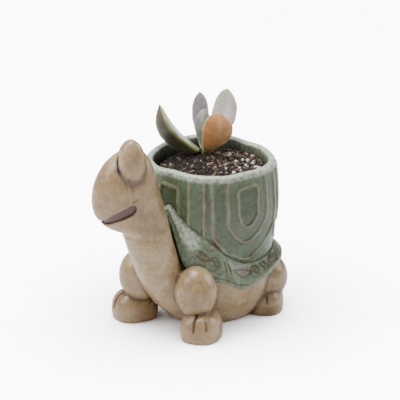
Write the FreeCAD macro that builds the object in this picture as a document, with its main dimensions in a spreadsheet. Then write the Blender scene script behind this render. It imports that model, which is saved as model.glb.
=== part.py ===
import FreeCAD, Part
import math
import os
import Sketcher
from FreeCAD import Placement, Rotation, Vector

# A ceramic planter in the shape of a tortoise. The tall shell is the pot, the head is turned to
# the animal's right, and a succulent grows in the potting mix. The ceramic is one glazed casting,
# modelled here as the members that its mould gives: they are luted face to face.
# The frame: +Z up, the tortoise faces -Y, its left side is +X, and the origin is on the axis of
# the drain hole, level with the soles. Lengths are millimetres and angles are degrees.

SIZES = {
    # Shell pot
    "pot_radius": 38.6,
    "rim_height": 97.0,
    "pot_wall": 4.2,
    "pot_swell": 2.0,
    "pot_waist": 1.7,
    "rim_rounding": 1.5,
    "side_heading": 75.0,
    "seat_height": 38.0,
    "ridge_height": 1.1,
    "ridge_width": 2.2,
    # Cavity and drain hole
    "floor_thickness": 7.5,
    "cavity_foot_radius": 20.0,
    "drain_radius": 4.5,
    # Skirt round the shell
    "skirt_reach": 9.4,
    "skirt_root": 1.0,
    "skirt_lip": 3.4,
    "skirt_undercut": 1.0,
    "luting_clearance": 0.1,
    # Belly
    "base_radius": 25.5,
    # Neck and head
    "neck_offset": 16.4,
    "neck_radius": 14.5,
    "neck_lean": 3.6,
    "crown_height": 118.5,
    "head_turn": 40.0,
    "snout_reach": 33.0,
    "head_half_width": 14.5,
    "mouth_depth": 2.0,
    # Eyes
    "eye_height": 111.5,
    "eye_forward": 10.0,
    "left_eye_spread": 8.0,
    "right_eye_spread": 6.5,
    "right_eye_drop": 4.5,
    "eye_tall": 15.0,
    "eye_long": 8.2,
    "eye_deep": 6.8,
    # Front legs and feet
    "fore_leg_side": 22.5,
    "fore_leg_ahead": 2.4,
    "fore_leg_tuck": 6.4,
    "fore_leg_overlap": 3.9,
    "fore_leg_radius": 12.5,
    "fore_foot_side": 26.8,
    "fore_foot_ahead": 1.8,
    "fore_foot_height": 5.5,
    "fore_foot_half_width": 12.0,
    "fore_foot_half_length": 13.6,
    "fore_foot_tall": 12.0,
    "fore_foot_splay": 24.0,
    # Back legs and feet
    "hind_leg_inset": 12.6,
    "hind_leg_back_inset": 17.6,
    "hind_leg_tuck": -3.5,
    "hind_leg_overlap": 10.5,
    "hind_leg_radius": 13.0,
    "hind_foot_inset": 11.1,
    "hind_foot_back_inset": 20.1,
    "hind_foot_height": 5.0,
    "hind_foot_half_width": 10.5,
    "hind_foot_half_length": 13.0,
    "hind_foot_tall": 11.0,
    "hind_foot_splay": 34.0,
    "toe_groove_width": 1.0,
    "toe_groove_depth": 1.3,
    "toe_fan": 17.0,
    # Tail
    "tail_root_radius": 6.5,
    "tail_tip_radius": 3.4,
    "tail_length": 13.0,
    "tail_height": 9.0,
    "tail_droop": 14.0,
    # Potting mix
    "mix_headroom": 9.0,
    "mix_crown": 4.0,
    "mix_clearance": 0.3,
    "perlite_size": 2.6,
    "grit_size": 2.0,
    # Succulent
    "plant_side": -12.0,
    "plant_back": 10.0,
    "stem_radius": 2.6,
    "stem_rise": 7.0,
    "root_radius": 1.1,
    "root_depth": 32.0,
    "leaf_length": 39.5,
    "leaf_width": 16.8,
    "leaf_thickness": 6.0,
    "leaf_drop": 1.6,
    "leaf_clearance": 0.2,
    # One overrun for every cut
    "overrun": 2.0,
}

document = FreeCAD.newDocument("tortoise_planter")
sheet = document.addObject("Spreadsheet::Sheet", "Sizes")
for row, (alias, value) in enumerate(SIZES.items(), start=1):
    sheet.set(f"A{row}", alias)
    sheet.set(f"B{row}", str(value))
    sheet.setAlias(f"B{row}", alias)
document.recompute()


def size(alias):
    return float(sheet.get(alias))


def feature(label, shape):
    """A free form whose shape is worked out here from the sheet's sizes."""
    thing = document.addObject("Part::Feature", label)
    thing.Label = label
    thing.Shape = shape
    return thing


def bound(kind, label, expressions, rotation=Rotation()):
    """A primitive whose sizes and place follow cells of the sheet."""
    thing = document.addObject(kind, label)
    thing.Label = label
    thing.Placement = Placement(Vector(), rotation)
    for name, formula in expressions.items():
        thing.setExpression(name, formula)
    document.recompute()
    return thing


def paired(kind, label, first, second):
    """A Part::Cut or Part::Common of two objects."""
    thing = document.addObject(kind, label)
    thing.Label = label
    thing.Base = first
    thing.Tool = second
    document.recompute()
    return thing


def cut(label, base, *tools):
    """The base less each tool in turn. The last cut takes the label."""
    for place, tool in enumerate(tools, start=1):
        name = label if place == len(tools) else f"{label}_cut_{place}"
        base = paired("Part::Cut", name, base, tool)
    return base


def fused(label, things):
    thing = document.addObject("Part::MultiFuse", label)
    thing.Label = label
    thing.Shapes = things
    document.recompute()
    return thing


def compass(azimuth):
    """The level direction at an azimuth: 0 is the front and 90 the animal's left."""
    angle = math.radians(azimuth)
    return Vector(math.sin(angle), -math.cos(angle), 0)


def upright(height):
    return Vector(0, 0, height)


def oval(centre, half_width, half_length, heading=0):
    """A level ellipse whose half length lies along the heading."""
    if half_width == half_length:
        return Part.Wire(Part.Circle(centre, upright(1), half_width).toShape())
    ahead = compass(heading) * half_length
    side = compass(heading + 90) * half_width
    major, minor = (side, ahead) if half_width > half_length else (ahead, side)
    return Part.Wire(Part.Ellipse(centre + major, centre + minor, centre).toShape())


# Places on the belly's profile, as shares of the radius and of the height between its ends.
BELLY_BULGE_SHARES = (0.72, 0.33)
# The pot's plan is a soft cornered square. How far its flats stand from the axis, as shares of the
# pot's radius: front, side and back. The corners between them are rounded by shares of it too.
FLAT_SHARES = (0.94, 0.965, 0.905)
CORNER_SHARES = (0.75, 0.83)
# Sections up the shell: share of its height, share of the waist drawn in, share of the swell.
SHELL_STATION_SHARES = (
    (0.0, 1.0, 0.0),
    (0.14, 0.9, 0.0),
    (0.33, 0.0, 0.2),
    (0.55, 0.0, 1.0),
    (0.8, 0.0, 0.7),
    (1.0, 0.0, 0.0),
)
# Sections up the cavity: share of its height above the floor, share of the way out to the wall.
CAVITY_STATION_SHARES = ((0.0, 0.0), (0.04, 0.36), (0.12, 0.66), (0.25, 0.84), (0.5, 0.95), (1.0, 1.0))


def plan_flats(grow):
    """The flats of the pot's plan on its left side: heading outwards and distance from the axis."""
    headings = (0, size("side_heading"), 180)
    return [(heading, size("pot_radius") * share + grow) for heading, share in zip(headings, FLAT_SHARES)]


def plan_corner(first, second, radius):
    """The centre of the round corner between two flats."""
    (turn_1, reach_1), (turn_2, reach_2) = first, second
    one, two = compass(turn_1), compass(turn_2)
    spread = one.x * two.y - one.y * two.x
    near, far = reach_1 - radius, reach_2 - radius
    return Vector((near * two.y - far * one.y) / spread, (far * one.x - near * two.x) / spread, 0)


def plan_outline(height, grow=0):
    """The pot's plan at a height, grown or drawn in all round. It has four flats and four arcs."""
    flats = plan_flats(grow)
    arcs = []
    for first, second, share in zip(flats, flats[1:], CORNER_SHARES):
        radius = size("pot_radius") * share + grow
        centre = plan_corner(first, second, radius)
        turns = (first[0], (first[0] + second[0]) / 2, second[0])
        arcs.append([centre + compass(turn) * radius for turn in turns])
    mirrored = [[Vector(-point.x, point.y, 0) for point in reversed(arc)] for arc in reversed(arcs)]
    arcs = [[point + upright(height) for point in arc] for arc in arcs + mirrored]
    edges = []
    for arc, following in zip(arcs, arcs[1:] + arcs[:1]):
        edges.append(Part.Arc(*arc).toShape())
        edges.append(Part.makeLine(arc[-1], following[0]))
    return Part.Wire(edges)


def plan_reach(azimuth, grow=0):
    """How far the plan stands from the axis at an azimuth."""
    turn = abs((azimuth + 180) % 360 - 180)
    ray = compass(turn)
    flats = plan_flats(grow)
    slants = [(distance, ray.dot(compass(heading))) for heading, distance in flats]
    reach = min(distance / slant for distance, slant in slants if slant > 0)
    for first, second, share in zip(flats, flats[1:], CORNER_SHARES):
        radius = size("pot_radius") * share + grow
        centre = plan_corner(first, second, radius)
        along = ray.dot(centre)
        hit = along + math.sqrt(along * along - centre.dot(centre) + radius * radius)
        spoke = ray * hit - centre
        if first[0] < math.degrees(math.atan2(spoke.x, -spoke.y)) < second[0]:
            reach = hit
    return reach


def shell_form(proud=0):
    """The shell's outside, or a skin that stands proud of it."""
    seat = size("seat_height")
    rise = size("rim_height") - seat
    rings = []
    for up, waist_share, swell_share in SHELL_STATION_SHARES:
        grow = proud - size("pot_waist") * waist_share + size("pot_swell") * swell_share
        rings.append(plan_outline(seat + rise * up, grow))
    return Part.makeLoft(rings, True)


def build_belly():
    """The bowl of the belly, turned from a sketch: flat sole, bulging side and flat top."""
    body = document.addObject("PartDesign::Body", "belly")
    sketch = body.newObject("Sketcher::SketchObject", "belly_profile")
    sketch.AttachmentSupport = [plane for plane in body.Origin.OriginFeatures if plane.Role == "XZ_Plane"]
    sketch.MapMode = "FlatFace"
    seat = size("seat_height")
    base = size("base_radius")
    waist = size("pot_radius") - size("pot_waist")
    out, up = BELLY_BULGE_SHARES
    heel, brim, top = Vector(base, 0), Vector(waist, seat), Vector(0, seat)
    bulge = Vector(base + (waist - base) * out, seat * up)
    sketch.addGeometry([Part.LineSegment(Vector(), heel), Part.Arc(heel, bulge, brim)])
    sketch.addGeometry([Part.LineSegment(brim, top), Part.LineSegment(top, Vector())])
    sketch.addGeometry(Part.Point(bulge), True)
    for first, second in ((0, 1), (1, 2), (2, 3), (3, 0)):
        sketch.addConstraint(Sketcher.Constraint("Coincident", first, 2, second, 1))
    sketch.addConstraint(Sketcher.Constraint("Coincident", 0, 1, -1, 1))
    sketch.addConstraint(Sketcher.Constraint("Horizontal", 0))
    sketch.addConstraint(Sketcher.Constraint("Horizontal", 2))
    sketch.addConstraint(Sketcher.Constraint("PointOnObject", 4, 1, 1))
    waist_formula = "Sizes.pot_radius - Sizes.pot_waist"
    lengths = (
        ("DistanceX", (0, 2), base, "Sizes.base_radius"),
        ("DistanceX", (1, 2), waist, waist_formula),
        ("DistanceY", (1, 2), seat, "Sizes.seat_height"),
        ("DistanceX", (4, 1), bulge.x, f"Sizes.base_radius + ({waist_formula} - Sizes.base_radius) * {out}"),
        ("DistanceY", (4, 1), bulge.y, f"Sizes.seat_height * {up}"),
    )
    for kind, point, value, formula in lengths:
        number = sketch.addConstraint(Sketcher.Constraint(kind, -1, 1, *point, value))
        sketch.setExpression(f"Constraints[{number}]", formula)
    document.recompute()
    bowl = body.newObject("PartDesign::Revolution", "belly_turned")
    bowl.Profile = sketch
    bowl.ReferenceAxis = (sketch, ["V_Axis"])
    document.recompute()
    return body


def cavity_form(clearance=0):
    """The hollow of the pot, drawn in by the clearance and run on past the rim."""
    floor = size("floor_thickness") + clearance
    foot = size("cavity_foot_radius") - size("pot_radius") - clearance
    mouth = -size("pot_wall") - clearance
    rise = size("rim_height") - floor
    rings = []
    for up, out in CAVITY_STATION_SHARES:
        rings.append(plan_outline(floor + rise * up, foot + (mouth - foot) * out))
    rings.append(plan_outline(size("rim_height") + size("overrun"), mouth))
    return Part.makeLoft(rings, True)


# Scutes round the shell: azimuth of the middle and half the span.
SCUTES = ((0, 36), (70, 34), (125, 21), (180, 34), (235, 21), (290, 34))
# Rings of a scute, from its border inwards. Half width as a share of the scute's; top, shoulder
# and tip as shares of the shell's height above its seat.
RING_SHARES = ((0.92, 1.0, 0.44, 0.1), (0.62, 0.92, 0.52, 0.27), (0.35, 0.85, 0.6, 0.44))
SHIELD_FOOT_SHARES = (0.6, 0.7)
SHIELD_CHAMFER_SHARE = 0.25


def shield(start, side, half_width, top, shoulder, tip):
    """A shield that stands across the azimuth: flat top, upright sides and a blunt pointed foot."""
    foot_out, foot_down = SHIELD_FOOT_SHARES
    chamfer = half_width * SHIELD_CHAMFER_SHARE
    half = (
        (half_width - chamfer, top),
        (half_width, top - chamfer),
        (half_width, shoulder),
        (half_width * foot_out, shoulder + (tip - shoulder) * foot_down),
    )
    outline = half + ((0, tip),) + tuple((-out, height) for out, height in reversed(half))
    points = [start + side * out + upright(height) for out, height in outline]
    return Part.Face(Part.makePolygon(points + points[:1]))


def scute_ring(azimuth, half_span, half_share, top_share, shoulder_share, tip_share):
    """One raised ring of a scute, as a band that runs out through the wall along the azimuth."""
    seat = size("seat_height")
    rise = size("rim_height") - seat
    width = size("ridge_width")
    half_width = size("pot_radius") * math.sin(math.radians(half_span)) * half_share
    top = seat + rise * top_share
    shoulder = seat + rise * shoulder_share
    tip = seat + rise * tip_share
    start = compass(azimuth) * (size("pot_radius") * math.cos(math.radians(half_span)) - size("pot_wall"))
    side = compass(azimuth + 90)
    brim = size("rim_height") - 2 * size("rim_rounding")
    inner_top = top - width
    if top > brim:
        top = brim
        inner_top = brim + width
    outer = shield(start, side, half_width, top, shoulder, tip)
    inner = shield(start, side, half_width - width, inner_top, shoulder + width / 2, tip + width)
    return outer.cut(inner).extrude(compass(azimuth) * size("pot_radius"))


# Points whose heights differ by less than this share are level with each other.
SAME_LEVEL_SHARE = 0.0001


def level_with_rim(corner):
    return math.isclose(corner.Z, size("rim_height"), rel_tol=SAME_LEVEL_SHARE)


def build_shell_pot(cavity):
    """The pot's wall with its rounded rim and the raised rings of its scutes."""
    wall = cut("shell_wall", feature("shell_outside", shell_form()), cavity)
    rim = [
        (place, size("rim_rounding"), size("rim_rounding"))
        for place, edge in enumerate(wall.Shape.Edges, start=1)
        if all(level_with_rim(corner) for corner in edge.Vertexes)
    ]
    rounded = document.addObject("Part::Fillet", "shell_rim")
    rounded.Base = wall
    rounded.Edges = rim
    document.recompute()
    crest = shell_form(size("ridge_height"))
    bands = []
    for azimuth, half_span in SCUTES:
        for row in RING_SHARES:
            if size("pot_radius") * math.sin(math.radians(half_span)) * row[0] > 2 * size("ridge_width"):
                band = scute_ring(azimuth, half_span, *row).common(crest).cut(cavity.Shape)
                bands.append(feature(f"ring_{azimuth}_{len(bands)}", band))
    return fused("shell_pot", [rounded] + bands)


# The skirt, from the front of the pot round to the back: azimuth; upper edge and lower edge as
# shares of the shell's height above its seat; and the share of the full reach.
SKIRT_STATION_SHARES = (
    (7, 0.62, 0.575, 0.25),
    (16, 0.54, 0.375, 0.4),
    (26, 0.455, 0.17, 0.52),
    (38, 0.35, 0.08, 0.64),
    (53, 0.17, -0.05, 0.76),
    (63, 0.085, -0.165, 1.0),
    (74, 0.035, -0.15, 0.8),
    (88, 0.025, -0.125, 0.64),
    (106, 0.048, -0.072, 0.5),
    (130, 0.068, -0.088, 0.43),
    (155, 0.076, -0.085, 0.42),
    (180, 0.085, -0.085, 0.44),
)


def skirt_section(azimuth, upper_share, lower_share, reach_share):
    """The skirt's profile at an azimuth, from inside the wall to its lip."""
    seat = size("seat_height")
    rise = size("rim_height") - seat
    upper = seat + rise * upper_share
    lower = seat + rise * lower_share
    lip = min(size("skirt_lip"), (upper - lower) / 2)
    root = plan_reach(azimuth) - 2 * size("pot_wall")
    wall = plan_reach(azimuth) + size("skirt_root")
    edge = size("pot_radius") + size("skirt_reach") * reach_share
    profile = (
        (root, upper),
        (wall, upper),
        (edge, lower + lip),
        (edge - size("skirt_undercut"), lower),
        (root, lower),
    )
    points = [compass(azimuth) * out + upright(height) for out, height in profile]
    return Part.makePolygon(points + points[:1])


def build_skirt(trims):
    there = [skirt_section(*row) for row in SKIRT_STATION_SHARES]
    back = [skirt_section(360 - row[0], *row[1:]) for row in SKIRT_STATION_SHARES[-2::-1]]
    return cut("shell_skirt", feature("skirt_band", Part.makeLoft(there + back, True)), *trims)


# Chest and neck sections. Height is a share of the crown's, the place ahead of the pot's axis a
# share of the neck's, the lean a share of the neck's lean, and the radius a share of the neck's.
NECK_STATION_SHARES = (
    (0.0, 0.25, 0.0, 0.76),
    (0.05, 0.4, 0.0, 0.9),
    (0.12, 0.57, 0.0, 0.97),
    (0.2, 0.72, 0.0, 0.97),
    (0.295, 0.855, 0.1, 0.93),
    (0.42, 0.945, 0.4, 0.92),
    (0.515, 1.0, 0.8, 0.95),
    (0.58, 1.0, 1.0, 0.86),
)
# Head sections in the turned head's own heading: height as a share of the crown's, reach ahead
# and behind as shares of the snout's, and half width as a share of the head's.
HEAD_STATION_SHARES = (
    (0.5, 0.26, 0.28, 0.6),
    (0.54, 0.4, 0.44, 0.88),
    (0.57, 0.52, 0.44, 0.9),
    (0.6, 0.78, 0.42, 0.9),
    (0.63, 0.88, 0.39, 0.92),
    (0.66, 0.97, 0.36, 0.94),
    (0.7, 1.0, 0.32, 0.97),
    (0.75, 1.01, 0.27, 1.0),
    (0.8, 0.99, 0.22, 0.97),
    (0.86, 0.92, 0.16, 0.87),
    (0.915, 0.79, 0.1, 0.73),
    (0.96, 0.63, 0.02, 0.53),
    (0.987, 0.47, -0.09, 0.32),
    (1.0, 0.34, -0.2, 0.14),
)
# The mouth in the head's own side view: ahead as a share of the snout's reach, height as a share
# of the crown's. It is a wedge that is taller at the corner of the smile.
MOUTH_SHARES = (
    (0.2, 0.7),
    (0.36, 0.672),
    (0.6, 0.638),
    (1.1, 0.606),
    (1.1, 0.593),
    (0.6, 0.618),
    (0.3, 0.638),
)


def neck_foot():
    """Where the neck's axis stands under the head."""
    return compass(0) * (size("pot_radius") + size("neck_offset")) - compass(90) * size("neck_lean")


def neck_form():
    stance = size("pot_radius") + size("neck_offset")
    rings = []
    for up, ahead, lean, out in NECK_STATION_SHARES:
        centre = compass(0) * (stance * ahead) - compass(90) * (size("neck_lean") * lean)
        radius = size("neck_radius") * out
        rings.append(oval(centre + upright(size("crown_height") * up), radius, radius, -size("head_turn")))
    return Part.makeLoft(rings, True)


def head_form(inset=0):
    """The head without its eyes, drawn in by the inset all round."""
    heading = -size("head_turn")
    rings = []
    for up, front_share, back_share, width_share in HEAD_STATION_SHARES:
        front = size("snout_reach") * front_share
        back = size("snout_reach") * back_share
        centre = neck_foot() + compass(heading) * ((front - back) / 2) + upright(size("crown_height") * up)
        half_width = size("head_half_width") * width_share - inset
        half_length = (front + back) / 2 - inset
        if half_width > 0 and half_length > 0:
            rings.append(oval(centre, half_width, half_length, heading))
    return Part.makeLoft(rings, True)


def mouth_form():
    """The groove of the smile, which runs round the snout at the mouth's depth."""
    heading = -size("head_turn")
    across = compass(heading + 90) * (size("head_half_width") + size("overrun"))
    points = []
    for ahead, up in MOUTH_SHARES:
        place = compass(heading) * (size("snout_reach") * ahead) + upright(size("crown_height") * up)
        points.append(neck_foot() + place - across)
    slot = Part.Face(Part.makePolygon(points + points[:1])).extrude(across * 2)
    return slot.cut(head_form(size("mouth_depth")))


def split_level(form, low):
    """A form above or below the shell's seat."""
    span = size("crown_height") + size("snout_reach")
    seat = size("seat_height")
    block = Part.makeBox(2 * span, 2 * span, span, Vector(-span, -span, seat - span if low else seat))
    return form.common(block)


# Where the limbs stand: beside the middle, and towards the back, from the axis of the pot. The
# front ones keep to the chest and the back ones to the sides of the belly.
LIMB_PLACES = {
    "fore_leg": ("Sizes.fore_leg_side", "-(Sizes.pot_radius + Sizes.fore_leg_ahead)"),
    "fore_foot": ("Sizes.fore_foot_side", "-(Sizes.pot_radius + Sizes.fore_foot_ahead)"),
    "hind_leg": (
        "(Sizes.pot_radius - Sizes.hind_leg_inset)",
        "Sizes.pot_radius - Sizes.hind_leg_back_inset",
    ),
    "hind_foot": (
        "(Sizes.pot_radius - Sizes.hind_foot_inset)",
        "Sizes.pot_radius - Sizes.hind_foot_back_inset",
    ),
}


def limb(label, prefix, side, radii, level, splay=0):
    """An ellipsoid of the limb's sizes on one side of the body: side is 1 on the left, -1 right."""
    seam_away = 0 if side > 0 else 180
    beside, behind = LIMB_PLACES[prefix]
    expressions = {
        "Radius1": radii[0],
        "Radius2": f"Sizes.{radii[1]}",
        "Radius3": f"Sizes.{radii[2]}",
        "Placement.Base.x": f"{side} * {beside}",
        "Placement.Base.y": behind,
        "Placement.Base.z": level,
    }
    return bound("Part::Ellipsoid", label, expressions, Rotation(upright(1), splay * side + seam_away))


def build_leg_form(label, prefix, foot, side):
    """An egg shaped knob that reaches from inside the foot to a tuck above or below the seat."""
    top = f"(Sizes.seat_height + Sizes.{prefix}_tuck)"
    bottom = f"(Sizes.{foot}_height + Sizes.{foot}_tall - Sizes.{prefix}_overlap)"
    radii = (f"({top} - {bottom}) / 2", f"{prefix}_radius", f"{prefix}_radius")
    return limb(label, prefix, side, radii, f"({top} + {bottom}) / 2")


# How far out along the foot its toe grooves begin, as a share of its half length.
GROOVE_START_SHARE = 0.45


def build_groove(label, form, prefix, turn):
    """The shallow cut between two toes, from the sole up over the end of the foot."""
    centre = Vector(form.Placement.Base.x, form.Placement.Base.y, 0)
    ahead = compass(turn)
    aside = compass(turn + 90) * (size("toe_groove_width") / 2)
    start = centre + ahead * (size(f"{prefix}_half_length") * GROOVE_START_SHARE)
    end = centre + ahead * (size(f"{prefix}_half_length") + size("overrun"))
    outline = Part.makePolygon([start - aside, end - aside, end + aside, start + aside, start - aside])
    slot = Part.Face(outline).extrude(upright(size(f"{prefix}_height") + size(f"{prefix}_tall")))
    core = form.Shape.copy()
    core.scale(1 - size("toe_groove_depth") / size(f"{prefix}_half_width"), form.Placement.Base)
    return feature(label, slot.cut(core))


def build_foot(label, prefix, side, trims):
    """A rounded foot with a flat sole, its toes parted by two shallow grooves."""
    radii = (f"Sizes.{prefix}_tall", f"{prefix}_half_width", f"{prefix}_half_length")
    form = limb(f"{label}_form", prefix, side, radii, f"Sizes.{prefix}_height", size(f"{prefix}_splay"))
    grooves = []
    for fan in (-1, 1):
        turn = size(f"{prefix}_splay") * side + size("toe_fan") * fan
        grooves.append(build_groove(f"{label}_groove_{fan}", form, prefix, turn))
    return cut(label, form, ground, *trims, *grooves)


def build_eye(label, side):
    """A closed, bulging eyelid that stands high on the side of the head. The head is cocked, so the
    right one stands lower."""
    forward = "Sizes.eye_forward"
    spread = f"{side} * Sizes.{label}_spread"
    height = "Sizes.eye_height" if side > 0 else "Sizes.eye_height - Sizes.right_eye_drop"
    turn = "Sizes.head_turn"
    neck_ahead = "(Sizes.pot_radius + Sizes.neck_offset)"
    expressions = {
        "Radius1": "Sizes.eye_tall",
        "Radius2": "Sizes.eye_deep",
        "Radius3": "Sizes.eye_long",
        "Placement.Base.x": f"-Sizes.neck_lean - {forward} * sin({turn}) + {spread} * cos({turn})",
        "Placement.Base.y": f"-{neck_ahead} - {forward} * cos({turn}) - {spread} * sin({turn})",
        "Placement.Base.z": height,
    }
    return bound("Part::Ellipsoid", f"{label}_form", expressions, Rotation(upright(1), -size("head_turn")))


def build_tail(trims):
    """A short blunt tail under the back of the skirt."""
    expressions = {
        "Radius1": "Sizes.tail_root_radius",
        "Radius2": "Sizes.tail_tip_radius",
        "Height": "Sizes.tail_length",
        "Placement.Base.y": "Sizes.pot_radius - Sizes.pot_waist - Sizes.tail_root_radius",
        "Placement.Base.z": "Sizes.tail_height + Sizes.tail_root_radius / 2",
    }
    cone = bound("Part::Cone", "tail_form", expressions, Rotation(Vector(1, 0, 0), -90 - size("tail_droop")))
    return cut("tail", cone, *trims)


# Leaves of the rosette: azimuth and lean from the vertical, then its length, width and thickness
# as shares of the longest, widest and thickest leaf's.
LEAF_SHARES = {
    "centre": (20, 3, 0.62, 0.452, 0.6),
    "left": (302, 42, 0.886, 0.744, 0.867),
    "back_left": (234, 20, 0.848, 0.714, 0.833),
    "back_right": (172, 27, 1.0, 0.869, 0.933),
    "front": (96, 20, 0.722, 1.0, 1.0),
}
# How far a leaf's heel stands off the stem, as a share of the leaf's thickness.
LEAF_HEEL_SHARE = 0.12
# Sections of a leaf from its seat to its tip: place along it, half width share, thickness share
# and how far its back bows away from the rosette, as a share of its length.
LEAF_SECTION_SHARES = (
    (0.0, 0.2, 0.4, 0.0),
    (0.15, 0.42, 0.7, 0.05),
    (0.35, 0.78, 0.95, 0.1),
    (0.58, 1.0, 1.0, 0.11),
    (0.78, 0.84, 0.85, 0.075),
    (0.93, 0.42, 0.5, 0.02),
    (1.0, 0.08, 0.16, -0.01),
)
# A leaf's cross section: across and through shares, from the face round the keeled back.
LEAF_OUTLINE_SHARES = (
    (1.0, 0.0),
    (0.5, 0.22),
    (0.0, 0.16),
    (-0.5, 0.22),
    (-1.0, 0.0),
    (-0.55, -0.55),
    (0.0, -0.84),
    (0.55, -0.55),
)


def leaf_form(azimuth, lean, length_share, width_share, thickness_share, outer):
    """A fleshy keeled leaf that bows outwards. The outer ones rise from the side of the stem."""
    length = size("leaf_length") * length_share
    width = size("leaf_width") * width_share
    thickness = size("leaf_thickness") * thickness_share
    out = compass(azimuth)
    across = compass(azimuth + 90)
    tilt = math.radians(lean)
    along = out * math.sin(tilt) + upright(math.cos(tilt))
    face = upright(math.sin(tilt)) - out * math.cos(tilt)
    foot = plant_place() + upright(stem_top()) + out * size("leaf_clearance")
    if outer:
        foot = foot + out * (size("stem_radius") + thickness * LEAF_HEEL_SHARE) - upright(size("leaf_drop"))
    rings = []
    for place, wide, thick, bow in LEAF_SECTION_SHARES:
        middle = foot + along * (length * place) - face * (length * bow)
        points = [
            middle + across * (width / 2 * wide * side) + face * (thickness * thick * through)
            for side, through in LEAF_OUTLINE_SHARES
        ]
        curve = Part.BSplineCurve()
        curve.interpolate(Points=points, PeriodicFlag=True)
        rings.append(Part.Wire(curve.toShape()))
    return Part.makeLoft(rings, True)


def plant_place():
    return Vector(size("plant_side"), size("plant_back"), 0)


def mix_level():
    return size("rim_height") - size("mix_headroom")


def stem_top():
    return mix_level() + size("stem_rise")


def build_stem():
    """The stem with its tap root, which narrows down into the mix."""
    level = "Sizes.rim_height - Sizes.mix_headroom"
    cones = []
    for name, foot, tall, place in (
        ("above", "stem_radius", "stem_rise", level),
        ("below", "root_radius", "root_depth", f"{level} - Sizes.root_depth"),
    ):
        expressions = {
            "Radius1": f"Sizes.{foot}",
            "Radius2": "Sizes.stem_radius",
            "Height": f"Sizes.{tall}",
            "Placement.Base.x": "Sizes.plant_side",
            "Placement.Base.y": "Sizes.plant_back",
            "Placement.Base.z": place,
        }
        cones.append(bound("Part::Cone", f"stem_{name}", expressions))
    return fused("plant_stem", cones)


def dome():
    """The ball whose top is the crown of the mix's surface, and its centre's height."""
    reach = size("pot_radius") - size("pot_wall")
    crown = size("mix_crown")
    radius = (reach * reach + crown * crown) / (2 * crown)
    return radius, mix_level() + crown - radius


# A crumb's length and height, as shares of its width.
CRUMB_SHARES = (0.78, 0.7)
# Crumbs follow a sunflower spread over the mix, the perlite on the side away from the plant.
SPREAD_TURN = 137.5
PERLITE_PLACES = 60
GRIT_PLACES = 56


def grain(place, width, turn):
    """A crumb with eight faces, longer one way than the other."""
    half = width / 2
    across = compass(turn) * half
    along = compass(turn + 90) * (half * CRUMB_SHARES[0])
    rise = upright(half * CRUMB_SHARES[1])
    rim = [place + across, place + along, place - across, place - along]
    faces = []
    for tip in (place + rise, place - rise):
        for first, second in zip(rim, rim[1:] + rim[:1]):
            faces.append(Part.Face(Part.makePolygon([first, second, tip, first])))
    return Part.Solid(Part.Shell(faces))


def crumbs(label, count, width, first, side):
    """Crumbs half sunk in the surface of the mix, on one side of it: 1 is the left, -1 the right."""
    radius, centre = dome()
    reach = size("pot_radius") * min(FLAT_SHARES) - size("pot_wall") - size("mix_clearance") - width
    solids = []
    for place in range(first, first + count):
        turn = place * SPREAD_TURN
        out = reach * math.sqrt((place - first + 1) / count)
        spot = compass(turn) * out
        clear = (spot - plant_place()).Length > size("stem_radius") + width
        if clear and spot.x * side > width:
            height = centre + math.sqrt(radius * radius - out * out)
            solids.append(grain(spot + upright(height), width, turn * 2))
    return feature(label, Part.makeCompound(solids))


def build_mix(cavity_clearance, *trims):
    """The root ball: it fills the cavity with a little clearance and has a domed top."""
    radius, centre = dome()
    fill = feature("mix_fill", cavity_form(cavity_clearance))
    ball = document.addObject("Part::Sphere", "mix_dome")
    ball.Radius = radius
    ball.Placement = Placement(upright(centre), Rotation())
    document.recompute()
    return cut("potting_mix", paired("Part::Common", "mix_body", fill, ball), *trims)


shell = feature("shell_outside", shell_form())
belly = build_belly()
cavity = feature("cavity", cavity_form())
neck = feature("neck_form", neck_form())
head = feature("head_form", head_form())
throat = feature("throat_form", neck.Shape.fuse(head.Shape))
ground_sizes = {side: "4 * Sizes.rim_height" for side in ("Length", "Width", "Height")}
for way, lengths in (("x", 2), ("y", 2), ("z", 4)):
    ground_sizes[f"Placement.Base.{way}"] = f"-{lengths} * Sizes.rim_height"
ground = bound("Part::Box", "ground", ground_sizes)

drain_sizes = {
    "Radius": "Sizes.drain_radius",
    "Height": "Sizes.floor_thickness + 2 * Sizes.overrun",
    "Placement.Base.z": "-Sizes.overrun",
}
drain = bound("Part::Cylinder", "drain", drain_sizes)

shell_pot = build_shell_pot(cavity)
chest = feature("chest", split_level(neck.Shape, True))
body = cut("body", fused("body_form", [belly, chest]), cavity, drain)
nape = feature("nape", split_level(throat.Shape, False))
seating = feature("shell_seating", shell_form(size("luting_clearance")))
skirt = build_skirt([seating, shell_pot, belly, throat])
crest = feature("shell_crest", shell_form(size("ridge_height")))
head_and_neck = cut("head_and_neck", nape, crest, feature("mouth", mouth_form()))
nodes = [shell_pot, body, skirt, head_and_neck]

eyes = [build_eye(f"{name}_eye", side) for name, side in (("left", 1), ("right", -1))]
left_eye = cut("left_eye", eyes[0], throat)
right_eye = cut("right_eye", eyes[1], throat, eyes[0])
nodes += [left_eye, right_eye]

for name, side in (("left", 1), ("right", -1)):
    fore_form = build_leg_form(f"front_{name}_leg_form", "fore_leg", "fore_foot", side)
    front_leg = cut(f"front_{name}_leg", fore_form, belly, throat, skirt, shell)
    foot = build_foot(f"front_{name}_foot", "fore_foot", side, [belly, throat, fore_form])
    hind_form = build_leg_form(f"rear_{name}_leg_form", "hind_leg", "hind_foot", side)
    hind_leg = cut(f"rear_{name}_leg", hind_form, ground, belly, skirt)
    hind_foot = build_foot(f"rear_{name}_foot", "hind_foot", side, [belly, hind_form])
    nodes += [front_leg, foot, hind_leg, hind_foot]

nodes.append(build_tail([belly, ground]))

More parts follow.
